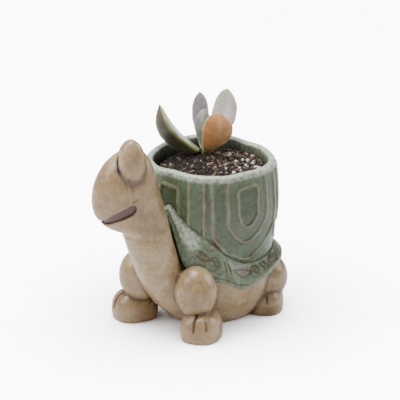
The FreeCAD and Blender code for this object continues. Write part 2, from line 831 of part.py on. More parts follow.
stem = build_stem()
perlite = crumbs("perlite_grains", PERLITE_PLACES, size("perlite_size"), 1, 1)
grit = crumbs("grit_grains", GRIT_PLACES, size("grit_size"), PERLITE_PLACES, -1)
mix = build_mix(size("mix_clearance"), stem, perlite, grit)
nodes += [mix, perlite, grit, stem]

for name, row in LEAF_SHARES.items():
    nodes.append(feature(f"leaf_{name}", leaf_form(*row, name != "centre")))

document.recompute()
for thing in document.Objects:
    if "Invalid" in thing.State or "Error" in thing.State:
        raise RuntimeError(f"{thing.Label} did not build")
for thing in nodes:
    if thing.Shape.isNull() or not thing.Shape.isValid():
        raise RuntimeError(f"{thing.Label} has no sound shape")

os.makedirs("parts", exist_ok=True)
for thing in nodes:
    thing.Shape.exportStep(f"parts/{thing.Label}.step")
    print(thing.Label, len(thing.Shape.Solids), round(thing.Shape.Volume), len(thing.Shape.Faces))
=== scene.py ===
import math

import bpy
import numpy as np
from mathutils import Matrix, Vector


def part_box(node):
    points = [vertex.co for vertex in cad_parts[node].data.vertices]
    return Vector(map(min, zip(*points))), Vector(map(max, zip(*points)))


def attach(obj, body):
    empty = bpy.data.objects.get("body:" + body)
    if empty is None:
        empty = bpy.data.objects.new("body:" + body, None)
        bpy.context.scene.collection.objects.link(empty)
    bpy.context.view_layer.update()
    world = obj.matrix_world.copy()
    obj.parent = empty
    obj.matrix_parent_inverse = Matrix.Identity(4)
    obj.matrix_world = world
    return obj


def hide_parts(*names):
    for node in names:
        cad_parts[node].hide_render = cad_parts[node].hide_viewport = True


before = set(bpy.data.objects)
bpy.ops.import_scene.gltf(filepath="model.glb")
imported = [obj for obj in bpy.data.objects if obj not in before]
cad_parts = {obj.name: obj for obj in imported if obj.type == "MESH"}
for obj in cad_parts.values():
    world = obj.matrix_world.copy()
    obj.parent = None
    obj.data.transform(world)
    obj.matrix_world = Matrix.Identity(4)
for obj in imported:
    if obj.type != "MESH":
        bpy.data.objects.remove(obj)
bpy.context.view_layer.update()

mm = 0.001  # everything below is written in millimetres and turned to metres in the mesh
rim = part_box("shell_pot")[1].z / mm
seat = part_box("shell_pot")[0].z / mm
photoTurn, photoRise = math.radians(40), math.radians(21.8)  # where the photograph's camera stands


# Small helpers for colours, nodes, tables and meshes
def colour(code):
    parts = [int(code[place:place + 2], 16) / 255 for place in (1, 3, 5)]
    return tuple(c / 12.92 if c <= 0.04045 else ((c + 0.055) / 1.055) ** 2.4 for c in parts) + (1.0,)


def addNode(tree, kind, settings):
    # settings are the node's properties, the stops of its ramp, and its inputs by name or by place;
    # an input takes a plain value, a hex colour, a socket, or a node for its first live output
    node = tree.nodes.new(kind if "Node" in kind else "ShaderNode" + kind)
    for name, value in settings.items():
        if isinstance(value, str) and value[0] == "#":
            value = colour(value)
        if isinstance(value, bpy.types.Node):
            value = next(socket for socket in value.outputs if socket.enabled)
        if name == "stops":
            while len(node.color_ramp.elements) < len(value):
                node.color_ramp.elements.new(0.5)
            for element, (place, tint) in zip(node.color_ramp.elements, value):
                element.position = place
                element.color = colour(tint) if isinstance(tint, str) else (tint, tint, tint, 1.0)
        elif isinstance(name, str) and hasattr(node, name):
            setattr(node, name, value)
        elif isinstance(value, bpy.types.NodeSocket):
            tree.links.new(value, node.inputs[name])
        else:
            node.inputs[name].default_value = value
    return node


def newMaterial(name, look):
    # a shader with the look's sockets and bump, and a part for each pattern and mark that it names;
    # a pattern is the size of its humps in millimetres, its detail and its roughness
    material = bpy.data.materials.new(name)
    material.use_nodes = True
    tree = material.node_tree
    tree.nodes.clear()
    shader = addNode(tree, "BsdfPrincipled", look["sockets"])
    addNode(tree, "OutputMaterial", {"Surface": shader})
    parts = {"place": addNode(tree, "TexCoord", {}).outputs["Object"]}
    for key, (size, detail, rough) in look.get("patterns", {}).items():
        settings = {"Vector": parts["place"], "Scale": 1 / (size * mm), "Detail": detail, "Roughness": rough}
        parts[key] = addNode(tree, "TexNoise", settings)
    for key in look.get("marks", ()):
        parts[key] = addNode(tree, "Attribute", {"attribute_name": key}).outputs["Fac"]
    if "bump" in look:
        pattern, strength, depth = look["bump"]
        bump = addNode(tree, "Bump", {"Height": parts[pattern], "Strength": strength, "Distance": depth * mm})
        tree.links.new(bump.outputs[0], shader.inputs["Normal"])
    return material, tree, shader, parts


def addTints(tree, parts, base, layers):
    # each layer's tint covers the base by its mark, times a level that its pattern may add to
    for mark, pattern, gain, cover, tint in layers:
        if pattern:
            cover = addNode(tree, "Math", {"operation": "MULTIPLY_ADD", 0: parts[pattern], 1: gain, 2: cover})
        cover = addNode(tree, "Math", {"operation": "MULTIPLY", "use_clamp": True, 0: parts[mark], 1: cover})
        base = addNode(tree, "Mix", {"data_type": "RGBA", 0: cover, 6: base, 7: tint})
    return base


def smoothTable(at, places, values, blur):
    # a table read as a smooth curve: straight runs between its rows, then blurred
    fine = np.linspace(min(places), max(places), 721)
    step = fine[1] - fine[0]
    line = np.interp(fine, places, values)
    reach = max(1, int(3 * blur / step))
    kernel = np.exp(-0.5 * (np.arange(-reach, reach + 1) * step / blur) ** 2)
    before = 2 * line[0] - line[1:reach + 1][::-1]
    after = 2 * line[-1] - line[-reach - 1:-1][::-1]
    padded = np.concatenate([before, line, after])
    return np.interp(at, fine, np.convolve(padded, kernel / kernel.sum(), "valid"))


def smoothStep(low, high, value):
    share = np.clip((value - low) / (high - low), 0, 1)
    return share * share * (3 - 2 * share)


def ripple(x, y, z, size, seed):
    # smooth, repeatable unevenness between -1 and 1, about one hump to each size
    rng = np.random.default_rng(seed)
    total = 0
    for octave in range(5):
        wave = rng.normal(size=3)
        wave = wave / np.linalg.norm(wave) * 2 * math.pi / size * rng.uniform(0.6, 1.5)
        total = total + np.sin(x * wave[0] + y * wave[1] + z * wave[2] + rng.uniform(0, 2 * math.pi))
    return total / 5


def toRight(x, y):
    # how far a place lies towards the right of the photograph
    return x * math.cos(photoTurn) + y * math.sin(photoTurn)


def fromFront(azimuth):
    return np.abs((azimuth + 180) % 360 - 180)


def fromRun(x, y, start, end):
    # distance from the straight run between two points
    runX, runY = end[0] - start[0], end[1] - start[1]
    share = np.clip(((x - start[0]) * runX + (y - start[1]) * runY) / (runX ** 2 + runY ** 2), 0, 1)
    return np.hypot(x - start[0] - share * runX, y - start[1] - share * runY)


def spokes(columns):
    # headings in degrees, counted from the front, and the way outwards at each
    azimuths = np.arange(columns) * 360 / columns
    return azimuths, np.stack([np.sin(np.radians(azimuths)), -np.cos(np.radians(azimuths))], -1)


def ringAt(ahead, radius, height):
    return np.column_stack([ahead * radius[:, None], height + 0 * radius])


def ringFaces(rows, columns, closed=False, turned=False):
    # quads over rings of points, closed where the last ring meets the first
    row = np.arange(rows if closed else rows - 1)[:, None] * columns
    column = np.arange(columns)[None, :]
    after = (row + columns) % (rows * columns)
    beside = (column + 1) % columns
    faces = np.stack([row + column, row + beside, after + beside, after + column], -1).reshape(-1, 4)
    return (faces[:, ::-1] if turned else faces).tolist()


def closedTube(rings, turned=False):
    # rings of points joined by quads, with one more point in the middle of each end
    columns = len(rings[0])
    faces = ringFaces(len(rings), columns, turned=turned)
    for end, first, outward in ((0, 0, turned), (1, (len(rings) - 1) * columns, not turned)):
        ring = list(range(first, first + columns))[::1 if outward else -1]
        faces += [(one, two, len(rings) * columns + end) for one, two in zip(ring, ring[1:] + ring[:1])]
    return np.concatenate(rings + [rings[0].mean(0)[None], rings[-1].mean(0)[None]]), faces


def newObject(name, points, faces, material=None, marks=None):
    mesh = bpy.data.meshes.new(name)
    mesh.from_pydata((np.asarray(points) * mm).tolist(), [], faces)
    for mark, values in (marks or {}).items():
        layer = mesh.attributes.new(mark, "FLOAT", "POINT")
        layer.data.foreach_set("value", np.ascontiguousarray(values, dtype=np.float32).ravel())
    mesh.shade_smooth()
    if material:
        mesh.materials.append(material)
    thing = bpy.data.objects.new(name, mesh)
    bpy.context.scene.collection.objects.link(thing)
    return thing


def handOver(piece, body, node):
    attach(piece, body)
    if node:
        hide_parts(node)


def plainName(node, ending=""):
    first, *others = node.split("_")
    return first + "".join(word.capitalize() for word in others) + ending


# Stage: pale floor, soft studio light and the photograph's long view from a little above
stage = {
    "floorHalf": 3000, "floorLook": {"sockets": {"Base Color": (0.9, 0.9, 0.91, 1), "Roughness": 0.9}},
    # the glow fades where the object stands near, a painted contact shadow on the floor
    "glow": 9.0, "paintedShadowFall": 2.3, "paintedShadowReach": 90,  # the floor shows white where nothing stands near it
    "away": 6.0, "frameWidth": 0.24, "aimRight": -0.0063, "aimUp": 0.0639, "sensor": 36,
    "world": 0.32, "lampAim": 0.06,
    # place to the right, back and up, size, power and tint
    "softboxes": {
        "softboxAbove": ((-0.25, -0.1, 1.0), 0.85, 16.0, (1, 1, 1)),
        "softboxLeft": ((-0.95, 0.3, 0.7), 0.8, 6.5, (1, 0.99, 0.96)),
        "softboxRight": ((0.95, -0.2, 0.6), 0.8, 5.0, (1, 1, 1)),
    },
}


def makeFloor():
    # matt paper sweep, burnt out to white for the camera alone; ambient occlusion dims that glow near the
    # object into a painted contact shadow
    material, tree, shader, parts = newMaterial("paleStudioFloor", stage["floorLook"])
    near = addNode(tree, "AmbientOcclusion", {"samples": 8, "Distance": stage["paintedShadowReach"] * mm})
    glow = addNode(tree, "Math", {"operation": "POWER", 0: near.outputs["AO"], 1: stage["paintedShadowFall"]})
    glow = addNode(tree, "Math", {"operation": "MULTIPLY", 0: glow, 1: stage["glow"]})
    seen = addNode(tree, "LightPath", {}).outputs["Is Camera Ray"]
    glow = addNode(tree, "Math", {"operation": "MULTIPLY", 0: seen, 1: glow})
    shader.inputs["Emission Color"].default_value = (1, 1, 1, 1)
    tree.links.new(glow.outputs[0], shader.inputs["Emission Strength"])
    half = stage["floorHalf"]
    corners = [(-half, -half, 0), (half, -half, 0), (half, half, 0), (-half, half, 0)]
    newObject("floor", corners, [(0, 1, 2, 3)], material)


def makeView():
    right = Vector((math.cos(photoTurn), math.sin(photoTurn), 0))
    level = Vector((math.sin(photoTurn), -math.cos(photoTurn), 0))
    back = level * math.cos(photoRise) + Vector((0, 0, math.sin(photoRise)))
    lens = bpy.data.cameras.new("camera")
    lens.sensor_width = stage["sensor"]
    lens.lens = stage["sensor"] * stage["away"] / stage["frameWidth"]
    lens.dof.use_dof = False
    camera = bpy.data.objects.new("camera", lens)
    camera.location = right * stage["aimRight"] + back.cross(right) * stage["aimUp"] + back * stage["away"]
    camera.rotation_euler = back.to_track_quat("Z", "Y").to_euler()
    bpy.context.scene.collection.objects.link(camera)
    bpy.context.scene.camera = camera
    for name, (place, size, power, tint) in stage["softboxes"].items():
        light = bpy.data.lights.new(name, "AREA")
        light.shape = "DISK"
        light.size, light.energy, light.color = size, power, tint
        lamp = bpy.data.objects.new(name, light)
        lamp.location = right * place[0] + back * place[1] + Vector((0, 0, place[2]))
        aim = lamp.location - Vector((0, 0, stage["lampAim"]))
        lamp.rotation_euler = aim.to_track_quat("Z", "Y").to_euler()
        bpy.context.scene.collection.objects.link(lamp)
    world = bpy.data.worlds.new("studio")
    world.use_nodes = True
    world.node_tree.nodes["Background"].inputs["Color"].default_value = (1, 1, 1, 1)
    world.node_tree.nodes["Background"].inputs["Strength"].default_value = stage["world"]
    bpy.context.scene.world = world


makeFloor()
makeView()
print("stage done")


# Celadon, a stoneware glaze: it pools dark in the hollows, thins pale over the ridges
# and breaks brown beside them; the dark pooled tint also paints shade behind and under the skirt and down the
# inner wall, and the pale tint a painted highlight on the skirt's front rise
celadonLook = {
    "sockets": {"Roughness": 0.34, "IOR": 1.45, "Coat Weight": 0.25, "Coat Roughness": 0.16},
    "patterns": {
        "cloud": (14.286, 4, 0.6), "mottle": (2.381, 5, 0.7),
        "rust": (6.25, 3, 0.5), "dimple": (3.846, 3, 0.5),
    },
    "marks": ("ridge", "flank", "pale", "pooled", "carved"), "bump": ("dimple", 0.22, 0.4),
    "greens": [(0.28, "#393d26"), (0.42, "#425135"), (0.56, "#4e6547"), (0.72, "#647e60")],
    "flecks": [(0.35, "#35412a"), (0.65, "#6f8367")], "fleckShare": 0.35, "rusty": [(0.42, 0.0), (0.62, 1.0)],
    # mark, pattern, gain and level of its cover, tint
    "layers": (
        ("ridge", "mottle", 0.9, 0.35, "#8b9479"), ("flank", "rust", 0.75, 0.2, "#5f4627"),
        ("pale", "mottle", 4.0, -1.1, "#cad3c1"), ("pooled", None, 0, 1.0, "#38392a"),
        ("carved", "rust", 0.25, 0.75, "#533d15"),
    ),
}


def makeCeladonGlaze():
    look = celadonLook
    material, tree, shader, parts = newMaterial("celadonGlaze", look)
    green = addNode(tree, "ValToRGB", {"Fac": parts["cloud"], "stops": look["greens"]})
    fine = addNode(tree, "ValToRGB", {"Fac": parts["mottle"], "stops": look["flecks"]})
    green = addNode(tree, "Mix", {"data_type": "RGBA", 0: look["fleckShare"], 6: green, 7: fine})
    parts["rust"] = addNode(tree, "ValToRGB", {"Fac": parts["rust"], "stops": look["rusty"]})
    green = addTints(tree, parts, green, look["layers"])
    tree.links.new(green.outputs[2], shader.inputs["Base Color"])
    return material


# Cream crackle glaze over a pale body: brown stain lies in the creases and in the fine crackle, and the
# crease mark also carries painted shade on the far front leg
creamLook = {
    "sockets": {"Roughness": 0.32, "IOR": 1.5, "Coat Weight": 0.5, "Coat Roughness": 0.16},
    "patterns": {
        "cloud": (18.182, 5, 0.65), "mottle": (3.3333, 6, 0.7),
        "warp": (5.5556, 2, 0.5), "dimple": (5, 4, 0.5),
    },
    "marks": ("crease", "mouth", "lash"), "bump": ("dimple", 0.2, 0.4),
    "creams": [(0.26, "#76583a"), (0.42, "#997a55"), (0.56, "#b89a70"), (0.75, "#dac5a2")],
    "flecks": [(0.3, "#745a3b"), (0.7, "#c5ae8b")], "fleckShare": 0.3,
    "stainAndShade": [(0.1, 0.0), (0.75, 0.78)], "stain": "#52361c",
    "crackle": 3.0303, "crackleWarp": 1.2, "crackleLine": [(0.0, 1.0), (0.06, 0.0)],
    "layers": (
        ("crackle", "cloud", 0.7, -0.1, "#5f4428"), ("mouth", None, 0, 1.0, "#5c3b30"),
        ("lash", None, 0, 1.6, "#120e0b"),
    ),
}


def makeCreamGlaze():
    look = creamLook
    material, tree, shader, parts = newMaterial("creamCrackleGlaze", look)
    cream = addNode(tree, "ValToRGB", {"Fac": parts["cloud"], "stops": look["creams"]})
    fine = addNode(tree, "ValToRGB", {"Fac": parts["mottle"], "stops": look["flecks"]})
    cream = addNode(tree, "Mix", {"data_type": "RGBA", 0: look["fleckShare"], 6: cream, 7: fine})
    # stain follows the creases and gathers where the glaze is cloudy; it also lays painted shade on the far
    # front leg
    stain = addNode(tree, "Math", {"operation": "MULTIPLY_ADD", 0: parts["cloud"], 1: 0.7, 2: -0.315})
    stain = addNode(tree, "Math", {"operation": "ADD", 0: stain, 1: parts["crease"]})
    patchy = addNode(tree, "Math", {"operation": "MULTIPLY_ADD", 0: parts["mottle"], 1: 1.1, 2: 0.55})
    stain = addNode(tree, "Math", {"operation": "MULTIPLY", "use_clamp": True, 0: stain, 1: patchy})
    stain = addNode(tree, "ValToRGB", {"Fac": stain, "stops": look["stainAndShade"]})
    cream = addNode(tree, "Mix", {"data_type": "RGBA", 0: stain, 6: cream, 7: look["stain"]})
    # the crackle is drawn coarser than a real one, so that it shows
    warp = (look["crackleWarp"] * mm,) * 3
    shifted = {"operation": "MULTIPLY_ADD", 0: parts["warp"].outputs["Color"], 1: warp, 2: parts["place"]}
    shifted = addNode(tree, "VectorMath", shifted)
    cells = {"feature": "DISTANCE_TO_EDGE", "Scale": 1 / (look["crackle"] * mm), "Vector": shifted}
    cells = addNode(tree, "TexVoronoi", cells)
    parts["crackle"] = addNode(tree, "ValToRGB", {"Fac": cells, "stops": look["crackleLine"]}).outputs[0]
    cream = addTints(tree, parts, cream, look["layers"])
    tree.links.new(cream.outputs[2], shader.inputs["Base Color"])
    return material


celadon = makeCeladonGlaze()
cream = makeCreamGlaze()


# Shell pot: one closed skin, up the outside with its scute rings, over the rim and down inside
potShape = {
    "radius": 38.6, "wall": 4.2, "lip": 0.42, "thicken": 0.15, "draw": 1.6,
    "columns": 420, "outerRows": 150, "innerRows": 26, "rimRows": 10,
    "rimWave": 0.45, "rimRise": 1.3, "riseHeading": 35, "frontExtra": 0.9,
    "flats": ((0, 0.94), (75, 0.965), (180, 0.905)), "corners": (0.75, 0.83),
    "heightShares": (0, 0.14, 0.33, 0.55, 0.8, 1.0), "swells": (-1.7, -1.5, 0.4, 2.0, 1.4, 0.0),
}
scuteShape = {
    "places": ((0, 36), (75, 35), (127, 18), (180, 33), (233, 18), (285, 35)),  # heading and half span
    # half width share, then top, shoulder and tip as shares of the shell's height
    "rings": ((0.95, 1.3, 0.36, 0.06), (0.58, 1.2, 0.47, 0.24), (0.29, 0.92, 0.57, 0.4)),
    "ridge": 1.1, "ridgeHalfWidth": 1.15, "plate": 0.35, "rounding": 2.2, "wobble": 0.7, "least": 4,
}


def planRadius(azimuth, grow):
    # how far the soft cornered plan stands from the axis, grown or drawn in all round
    turn = np.radians(fromFront(azimuth))
    rayX, rayY = np.sin(turn), -np.cos(turn)
    flats = [(heading, potShape["radius"] * share + grow) for heading, share in potShape["flats"]]
    reach = 1e3
    for heading, distance in flats:
        slant = rayX * math.sin(math.radians(heading)) - rayY * math.cos(math.radians(heading))
        reach = np.minimum(reach, distance / np.maximum(slant, 0.05))
    for (turnOne, reachOne), (turnTwo, reachTwo), share in zip(flats, flats[1:], potShape["corners"]):
        radius = potShape["radius"] * share + grow
        one, two = math.radians(turnOne), math.radians(turnTwo)
        oneX, oneY, twoX, twoY = math.sin(one), -math.cos(one), math.sin(two), -math.cos(two)
        spread = oneX * twoY - oneY * twoX
        centreX = ((reachOne - radius) * twoY - (reachTwo - radius) * oneY) / spread
        centreY = ((reachTwo - radius) * oneX - (reachOne - radius) * twoX) / spread
        along = rayX * centreX + rayY * centreY
        hit = along + np.sqrt(np.maximum(along ** 2 - centreX ** 2 - centreY ** 2 + radius ** 2, 0))
        heading = np.degrees(np.arctan2(rayX * hit - centreX, -(rayY * hit - centreY)))
        reach = np.where((heading > turnOne) & (heading < turnTwo), hit, reach)
    return reach


def shellRadius(azimuth, height):
    share = np.clip((height - seat) / (rim - seat), 0, 1)
    return planRadius(azimuth, smoothTable(share, potShape["heightShares"], potShape["swells"], 0.03))


def shieldDistance(across, height, half, top, shoulder, tip, rounding):
    # signed distance to a shield outline: flat top, upright sides and a blunt point below
    bend = shoulder + (tip - shoulder) * 0.62
    left = [(-half, top), (-half, shoulder), (-half * 0.62, bend), (-half * 0.14, tip)]
    centre = np.array([0, (top + tip) / 2])
    corners = left + [(-x, y) for x, y in left[::-1]]
    shrink = 1 - rounding / max(half, scuteShape["least"])
    corners = [centre + (np.array(c) - centre) * shrink for c in corners]
    nearest = np.full(np.shape(across), 1e9)
    inside = np.zeros(np.shape(across), bool)
    for first, second in zip(corners, corners[1:] + corners[:1]):
        nearest = np.minimum(nearest, fromRun(across, height, first, second))
        crosses = (first[1] > height) != (second[1] > height)
        rise = second[1] - first[1]
        cut = first[0] + (second[0] - first[0]) * (height - first[1]) / (rise if rise else 1e-9)
        inside ^= crosses & (across < cut)
    return np.where(inside, -nearest, nearest) - rounding


def scuteRelief(azimuth, height):
    # how far the rings stand out of the wall, in millimetres
    size = scuteShape
    relief = np.zeros(np.broadcast(azimuth, height).shape)
    x, y = np.sin(np.radians(azimuth)) * 38, -np.cos(np.radians(azimuth)) * 38
    wobble = ripple(x, y, height, 16, 3) * size["wobble"]
    for centre, halfSpan in size["places"]:
        turn = (azimuth - centre + 180) % 360 - 180
        across = np.radians(turn) * potShape["radius"] + wobble
        here = np.abs(turn) < halfSpan + 6
        for share, *levels in size["rings"]:
            half = math.radians(halfSpan) * potShape["radius"] * share
            if half < size["least"]:
                continue
            top, shoulder, tip = (seat + (rim - seat) * level for level in levels)
            distance = shieldDistance(across, height + wobble, half, top, shoulder, tip, size["rounding"])
            bead = np.exp(-(distance / size["ridgeHalfWidth"]) ** 2) * size["ridge"]
            plate = size["plate"] * smoothStep(0.6, -1.2, distance) * (0.6 if share < 0.5 else -0.3)
            relief = np.maximum(relief, np.where(here, bead, 0)) - np.where(here, plate, 0)
    return relief * (0.9 + 0.25 * ripple(x, y, height, 11, 5))


def rimRipple(azimuth, waves, seed):
    # an unevenness that runs round the rim and closes on itself
    rng = np.random.default_rng(seed)
    total = 0
    for step in range(4):
        phase, swing = rng.uniform(0, 2 * math.pi), rng.uniform(0.5, 1)
        total = total + np.sin(np.radians(azimuth) * (waves + step) + phase) * swing
    return total / 2.4


def makeShellPot():
    size = potShape
    azimuths, ahead = spokes(size["columns"])
    nearFront = np.clip(np.cos(np.radians(azimuths - size["riseHeading"])), 0, 1) ** 1.5
    wave = size["rimWave"] * (rimRipple(azimuths, 2, 11) + 0.5 * rimRipple(azimuths, 9, 12))
    lip = size["wall"] * size["lip"]
    brim = rim + wave + size["rimRise"] * nearFront - lip
    top = shellRadius(azimuths, rim)
    wall = size["wall"] * (1 + 0.1 * rimRipple(azimuths, 3, 21)) + size["frontExtra"] * nearFront
    rows, ridge, pale = [], [], []

    def addRow(radius, height, ridgeHere, paleHere):
        rows.append(ringAt(ahead, radius, height))
        ridge.append(ridgeHere + 0 * azimuths)
        pale.append(paleHere + 0 * azimuths)

    for up in np.linspace(0, 1, size["outerRows"]):
        height = seat + (brim - seat) * up
        relief = scuteRelief(azimuths, height) * smoothStep(1.0, 0.955, up)
        raised = np.clip(relief / scuteShape["ridge"], 0, 1)
        addRow(shellRadius(azimuths, height) + relief, height, raised, 0.75 * smoothStep(0.95, 1.0, up))
    for step in range(1, size["rimRows"]):
        angle = math.pi * step / size["rimRows"]
        addRow(top - wall / 2 + math.cos(angle) * wall / 2, brim + math.sin(angle) * lip, 0.5, 0.85)
    for down in np.linspace(0, 1, size["innerRows"]):
        radius = top - wall * (1 + size["thicken"] * down) - size["draw"] * down
        addRow(radius, brim + (seat - brim) * down, 0, 0.3 * (1 - down))
    grid, ridge = np.stack(rows), np.stack(ridge)
    height, outer = grid[..., 2], size["outerRows"]
    upper = skirtEdges(azimuths)[0]
    # painted shade darkens the glaze behind the skirt's rise and down the inner wall; the glaze pools dark
    # inside the rings
    pooled = 0.85 * smoothStep(upper + 3, upper - 4, height) * smoothStep(58, 40, fromFront(azimuths))
    sunken = (1 - ridge) * smoothStep(rim - 3, rim - 13, height) * smoothStep(upper + 2, upper + 15, height)
    pooled[:outer] += 0.34 * sunken[:outer]
    # painted shade: the inner wall darkens below the rim, more on the left side, where less light falls
    stainAndShade = 0.62 + 0.23 * smoothStep(18, -18, toRight(grid[..., 0], grid[..., 1]))
    inner = outer + size["rimRows"] - 1
    pooled[inner:] = (smoothStep(rim - 1, rim - 7, height) * stainAndShade)[inner:]
    slopeUp, slopeRound = np.gradient(ridge)
    flank = np.clip(np.hypot(slopeUp * 2.2, slopeRound * 1.6) * 1.5, 0, 1)
    flank[outer:] = 0.15
    marks = {"ridge": ridge, "flank": flank, "pale": np.stack(pale), "pooled": np.clip(pooled, 0, 1)}
    faces = ringFaces(len(rows), size["columns"], closed=True)
    pot = newObject("shellPot", grid.reshape(-1, 3), faces, celadon, marks)
    handOver(pot, "planter", "shell_pot")


# Skirt: a flared band that rises at the front to a point over the neck
skirtShape = {
    "columns": 900, "topRows": 46, "lipRows": 8, "underRows": 6, "lip": 3.4, "reach": 8.8, "inset": 6,
    "flare": 1.15, "bulge": 0.35, "repeat": 28.0, "carving": 0.45, "leastPale": 0.15,
    "beads": ((0.06, 0.06, 0.5), (0.97, 0.08, 0.45)),  # place across the band, half width and rise
    # from the front round to the back: heading, upper and lower edge as shares of the shell's height, reach
    "edges": (
        (0, 0.69, 0.58, 0.25), (8, 0.615, 0.36, 0.26), (16, 0.54, 0.08, 0.4), (26, 0.455, -0.02, 0.52),
        (38, 0.35, -0.05, 0.64), (53, 0.17, -0.1, 0.76), (63, 0.085, -0.165, 1.0), (74, 0.035, -0.15, 0.8),
        (88, 0.025, -0.125, 0.64), (106, 0.048, -0.072, 0.5), (130, 0.068, -0.088, 0.43),
        (155, 0.076, -0.085, 0.42), (180, 0.085, -0.085, 0.44),
    ),
}


def skirtEdges(azimuth):
    edges = np.array(skirtShape["edges"])
    edges = np.concatenate([edges[:0:-1] * (-1, 1, 1, 1), edges])
    upper, lower, reach = (smoothTable(fromFront(azimuth), edges[:, 0], edges[:, c], 2.2) for c in (1, 2, 3))
    return seat + (rim - seat) * upper, seat + (rim - seat) * lower, reach * skirtShape["reach"]


def scrollLines():
    # one repeat of the carved band, in millimetres: a leaf, a scroll that curls in, and two nicks
    turns = np.linspace(0, 2 * math.pi, 25)
    leaf = [(math.cos(a) * 5.6 + 6.6, math.sin(a) * 2.3 * (1 - 0.5 * math.cos(a) ** 2)) for a in turns]
    scroll = []
    for step in np.linspace(0, 1, 30):
        reach, angle = 0.6 + 2.6 * step, 2.8 * math.pi * step + 0.6
        scroll.append((16.4 + reach * math.cos(angle), reach * math.sin(angle)))
    tail = [scroll[-1], (scroll[-1][0] + 1.6, scroll[-1][1] + 0.6)]
    return [leaf, scroll, tail, [(22.2, 2.4), (22.9, -2.4)], [(25.0, 2.4), (25.7, -2.4)]]


def carvedDepth(along, across):
    nearest = np.full(np.shape(along), 9.0)
    for line in scrollLines():
        for start, end in zip(line, line[1:]):
            nearest = np.minimum(nearest, fromRun(along, across, start, end))
    inLeaf = smoothStep(1.0, 0.75, np.hypot((along - 6.6) / 5.6, across / 2.0))
    return np.maximum(np.exp(-(nearest / 0.72) ** 2), 0.5 * inLeaf)


def makeSkirt():
    size = skirtShape
    azimuths, ahead = spokes(size["columns"])
    upper, lower, reach = skirtEdges(azimuths)
    lip = np.minimum(size["lip"], (upper - lower) / 2)
    wall = shellRadius(azimuths, upper) + 0.4
    edge = potShape["radius"] + reach
    inner = potShape["radius"] - size["inset"]
    frontal = fromFront(azimuths)
    # the front rise is paler, partly from wear and partly as a painted highlight where it faces up into the
    # light
    wornAndHighlight = smoothStep(36, 22, frontal)
    # the band's own length is divided into whole repeats of the carving
    middle = ringAt(ahead, (wall + edge) / 2, (upper + lower + lip) / 2)
    steps = np.linalg.norm(np.roll(middle, -1, 0) - middle, axis=1)
    repeats = round(steps.sum() / size["repeat"])
    along = (np.cumsum(steps) - steps) * (repeats * size["repeat"] / steps.sum()) % size["repeat"]
    width = np.hypot(edge - wall, upper - lower - lip)
    rows, marks = [], {"ridge": [], "pale": [], "flank": [], "carved": [], "pooled": []}

    def addRow(radius, height, **given):
        rows.append(ringAt(ahead, radius, height))
        for mark, values in marks.items():
            values.append(given.get(mark, 0) + 0 * radius)

    addRow(inner + 0 * edge, upper - 0.4)
    for share in np.linspace(0, 1, size["topRows"]):
        radius = wall + (edge - wall) * share ** size["flare"] + math.sin(math.pi * share) * size["bulge"]
        height = upper + (lower + lip - upper) * share
        bead = sum(rise * math.exp(-((share - place) / half) ** 2) for place, half, rise in size["beads"])
        carved = carvedDepth(along, (0.52 - share) * width) * smoothStep(25, 30, frontal)
        uneven = 0.18 * ripple(ahead[:, 0] * radius, ahead[:, 1] * radius, height, 9, 31)
        pale = wornAndHighlight * smoothStep(0.0, 0.12, share) * (0.12 + 0.88 * smoothStep(0.66, 0.36, share))
        addRow(
            radius + bead + uneven - size["carving"] * carved, height, carved=carved,
            ridge=0.55 * bead, pale=np.maximum(pale, size["leastPale"]), flank=0.5 * bead + 0.2,
        )
    for step in range(1, size["lipRows"]):
        angle = math.pi * step / size["lipRows"] - math.pi / 2
        radius = edge + lip / 2 * (math.cos(angle) * 0.75 - 0.55)
        addRow(radius, lower + lip / 2 * (1 - math.sin(angle)), ridge=0.3, pale=size["leastPale"], flank=0.6)
    # the underside: its pooled tint is painted shade under the band
    for share in np.linspace(0.05, 1, size["underRows"]):
        radius = (edge - lip * 0.3) * (1 - share) + inner * share
        addRow(radius, lower + 0.4 * share, flank=0.3, pooled=0.5)
    faces = ringFaces(len(rows), size["columns"], closed=True, turned=True)
    marks = {mark: np.stack(values) for mark, values in marks.items()}
    skirt = newObject("shellSkirt", np.concatenate(rows), faces, celadon, marks)
    handOver(skirt, "planter", "shell_skirt")


makeShellPot()
print("shell pot done")
makeSkirt()
print("skirt done")


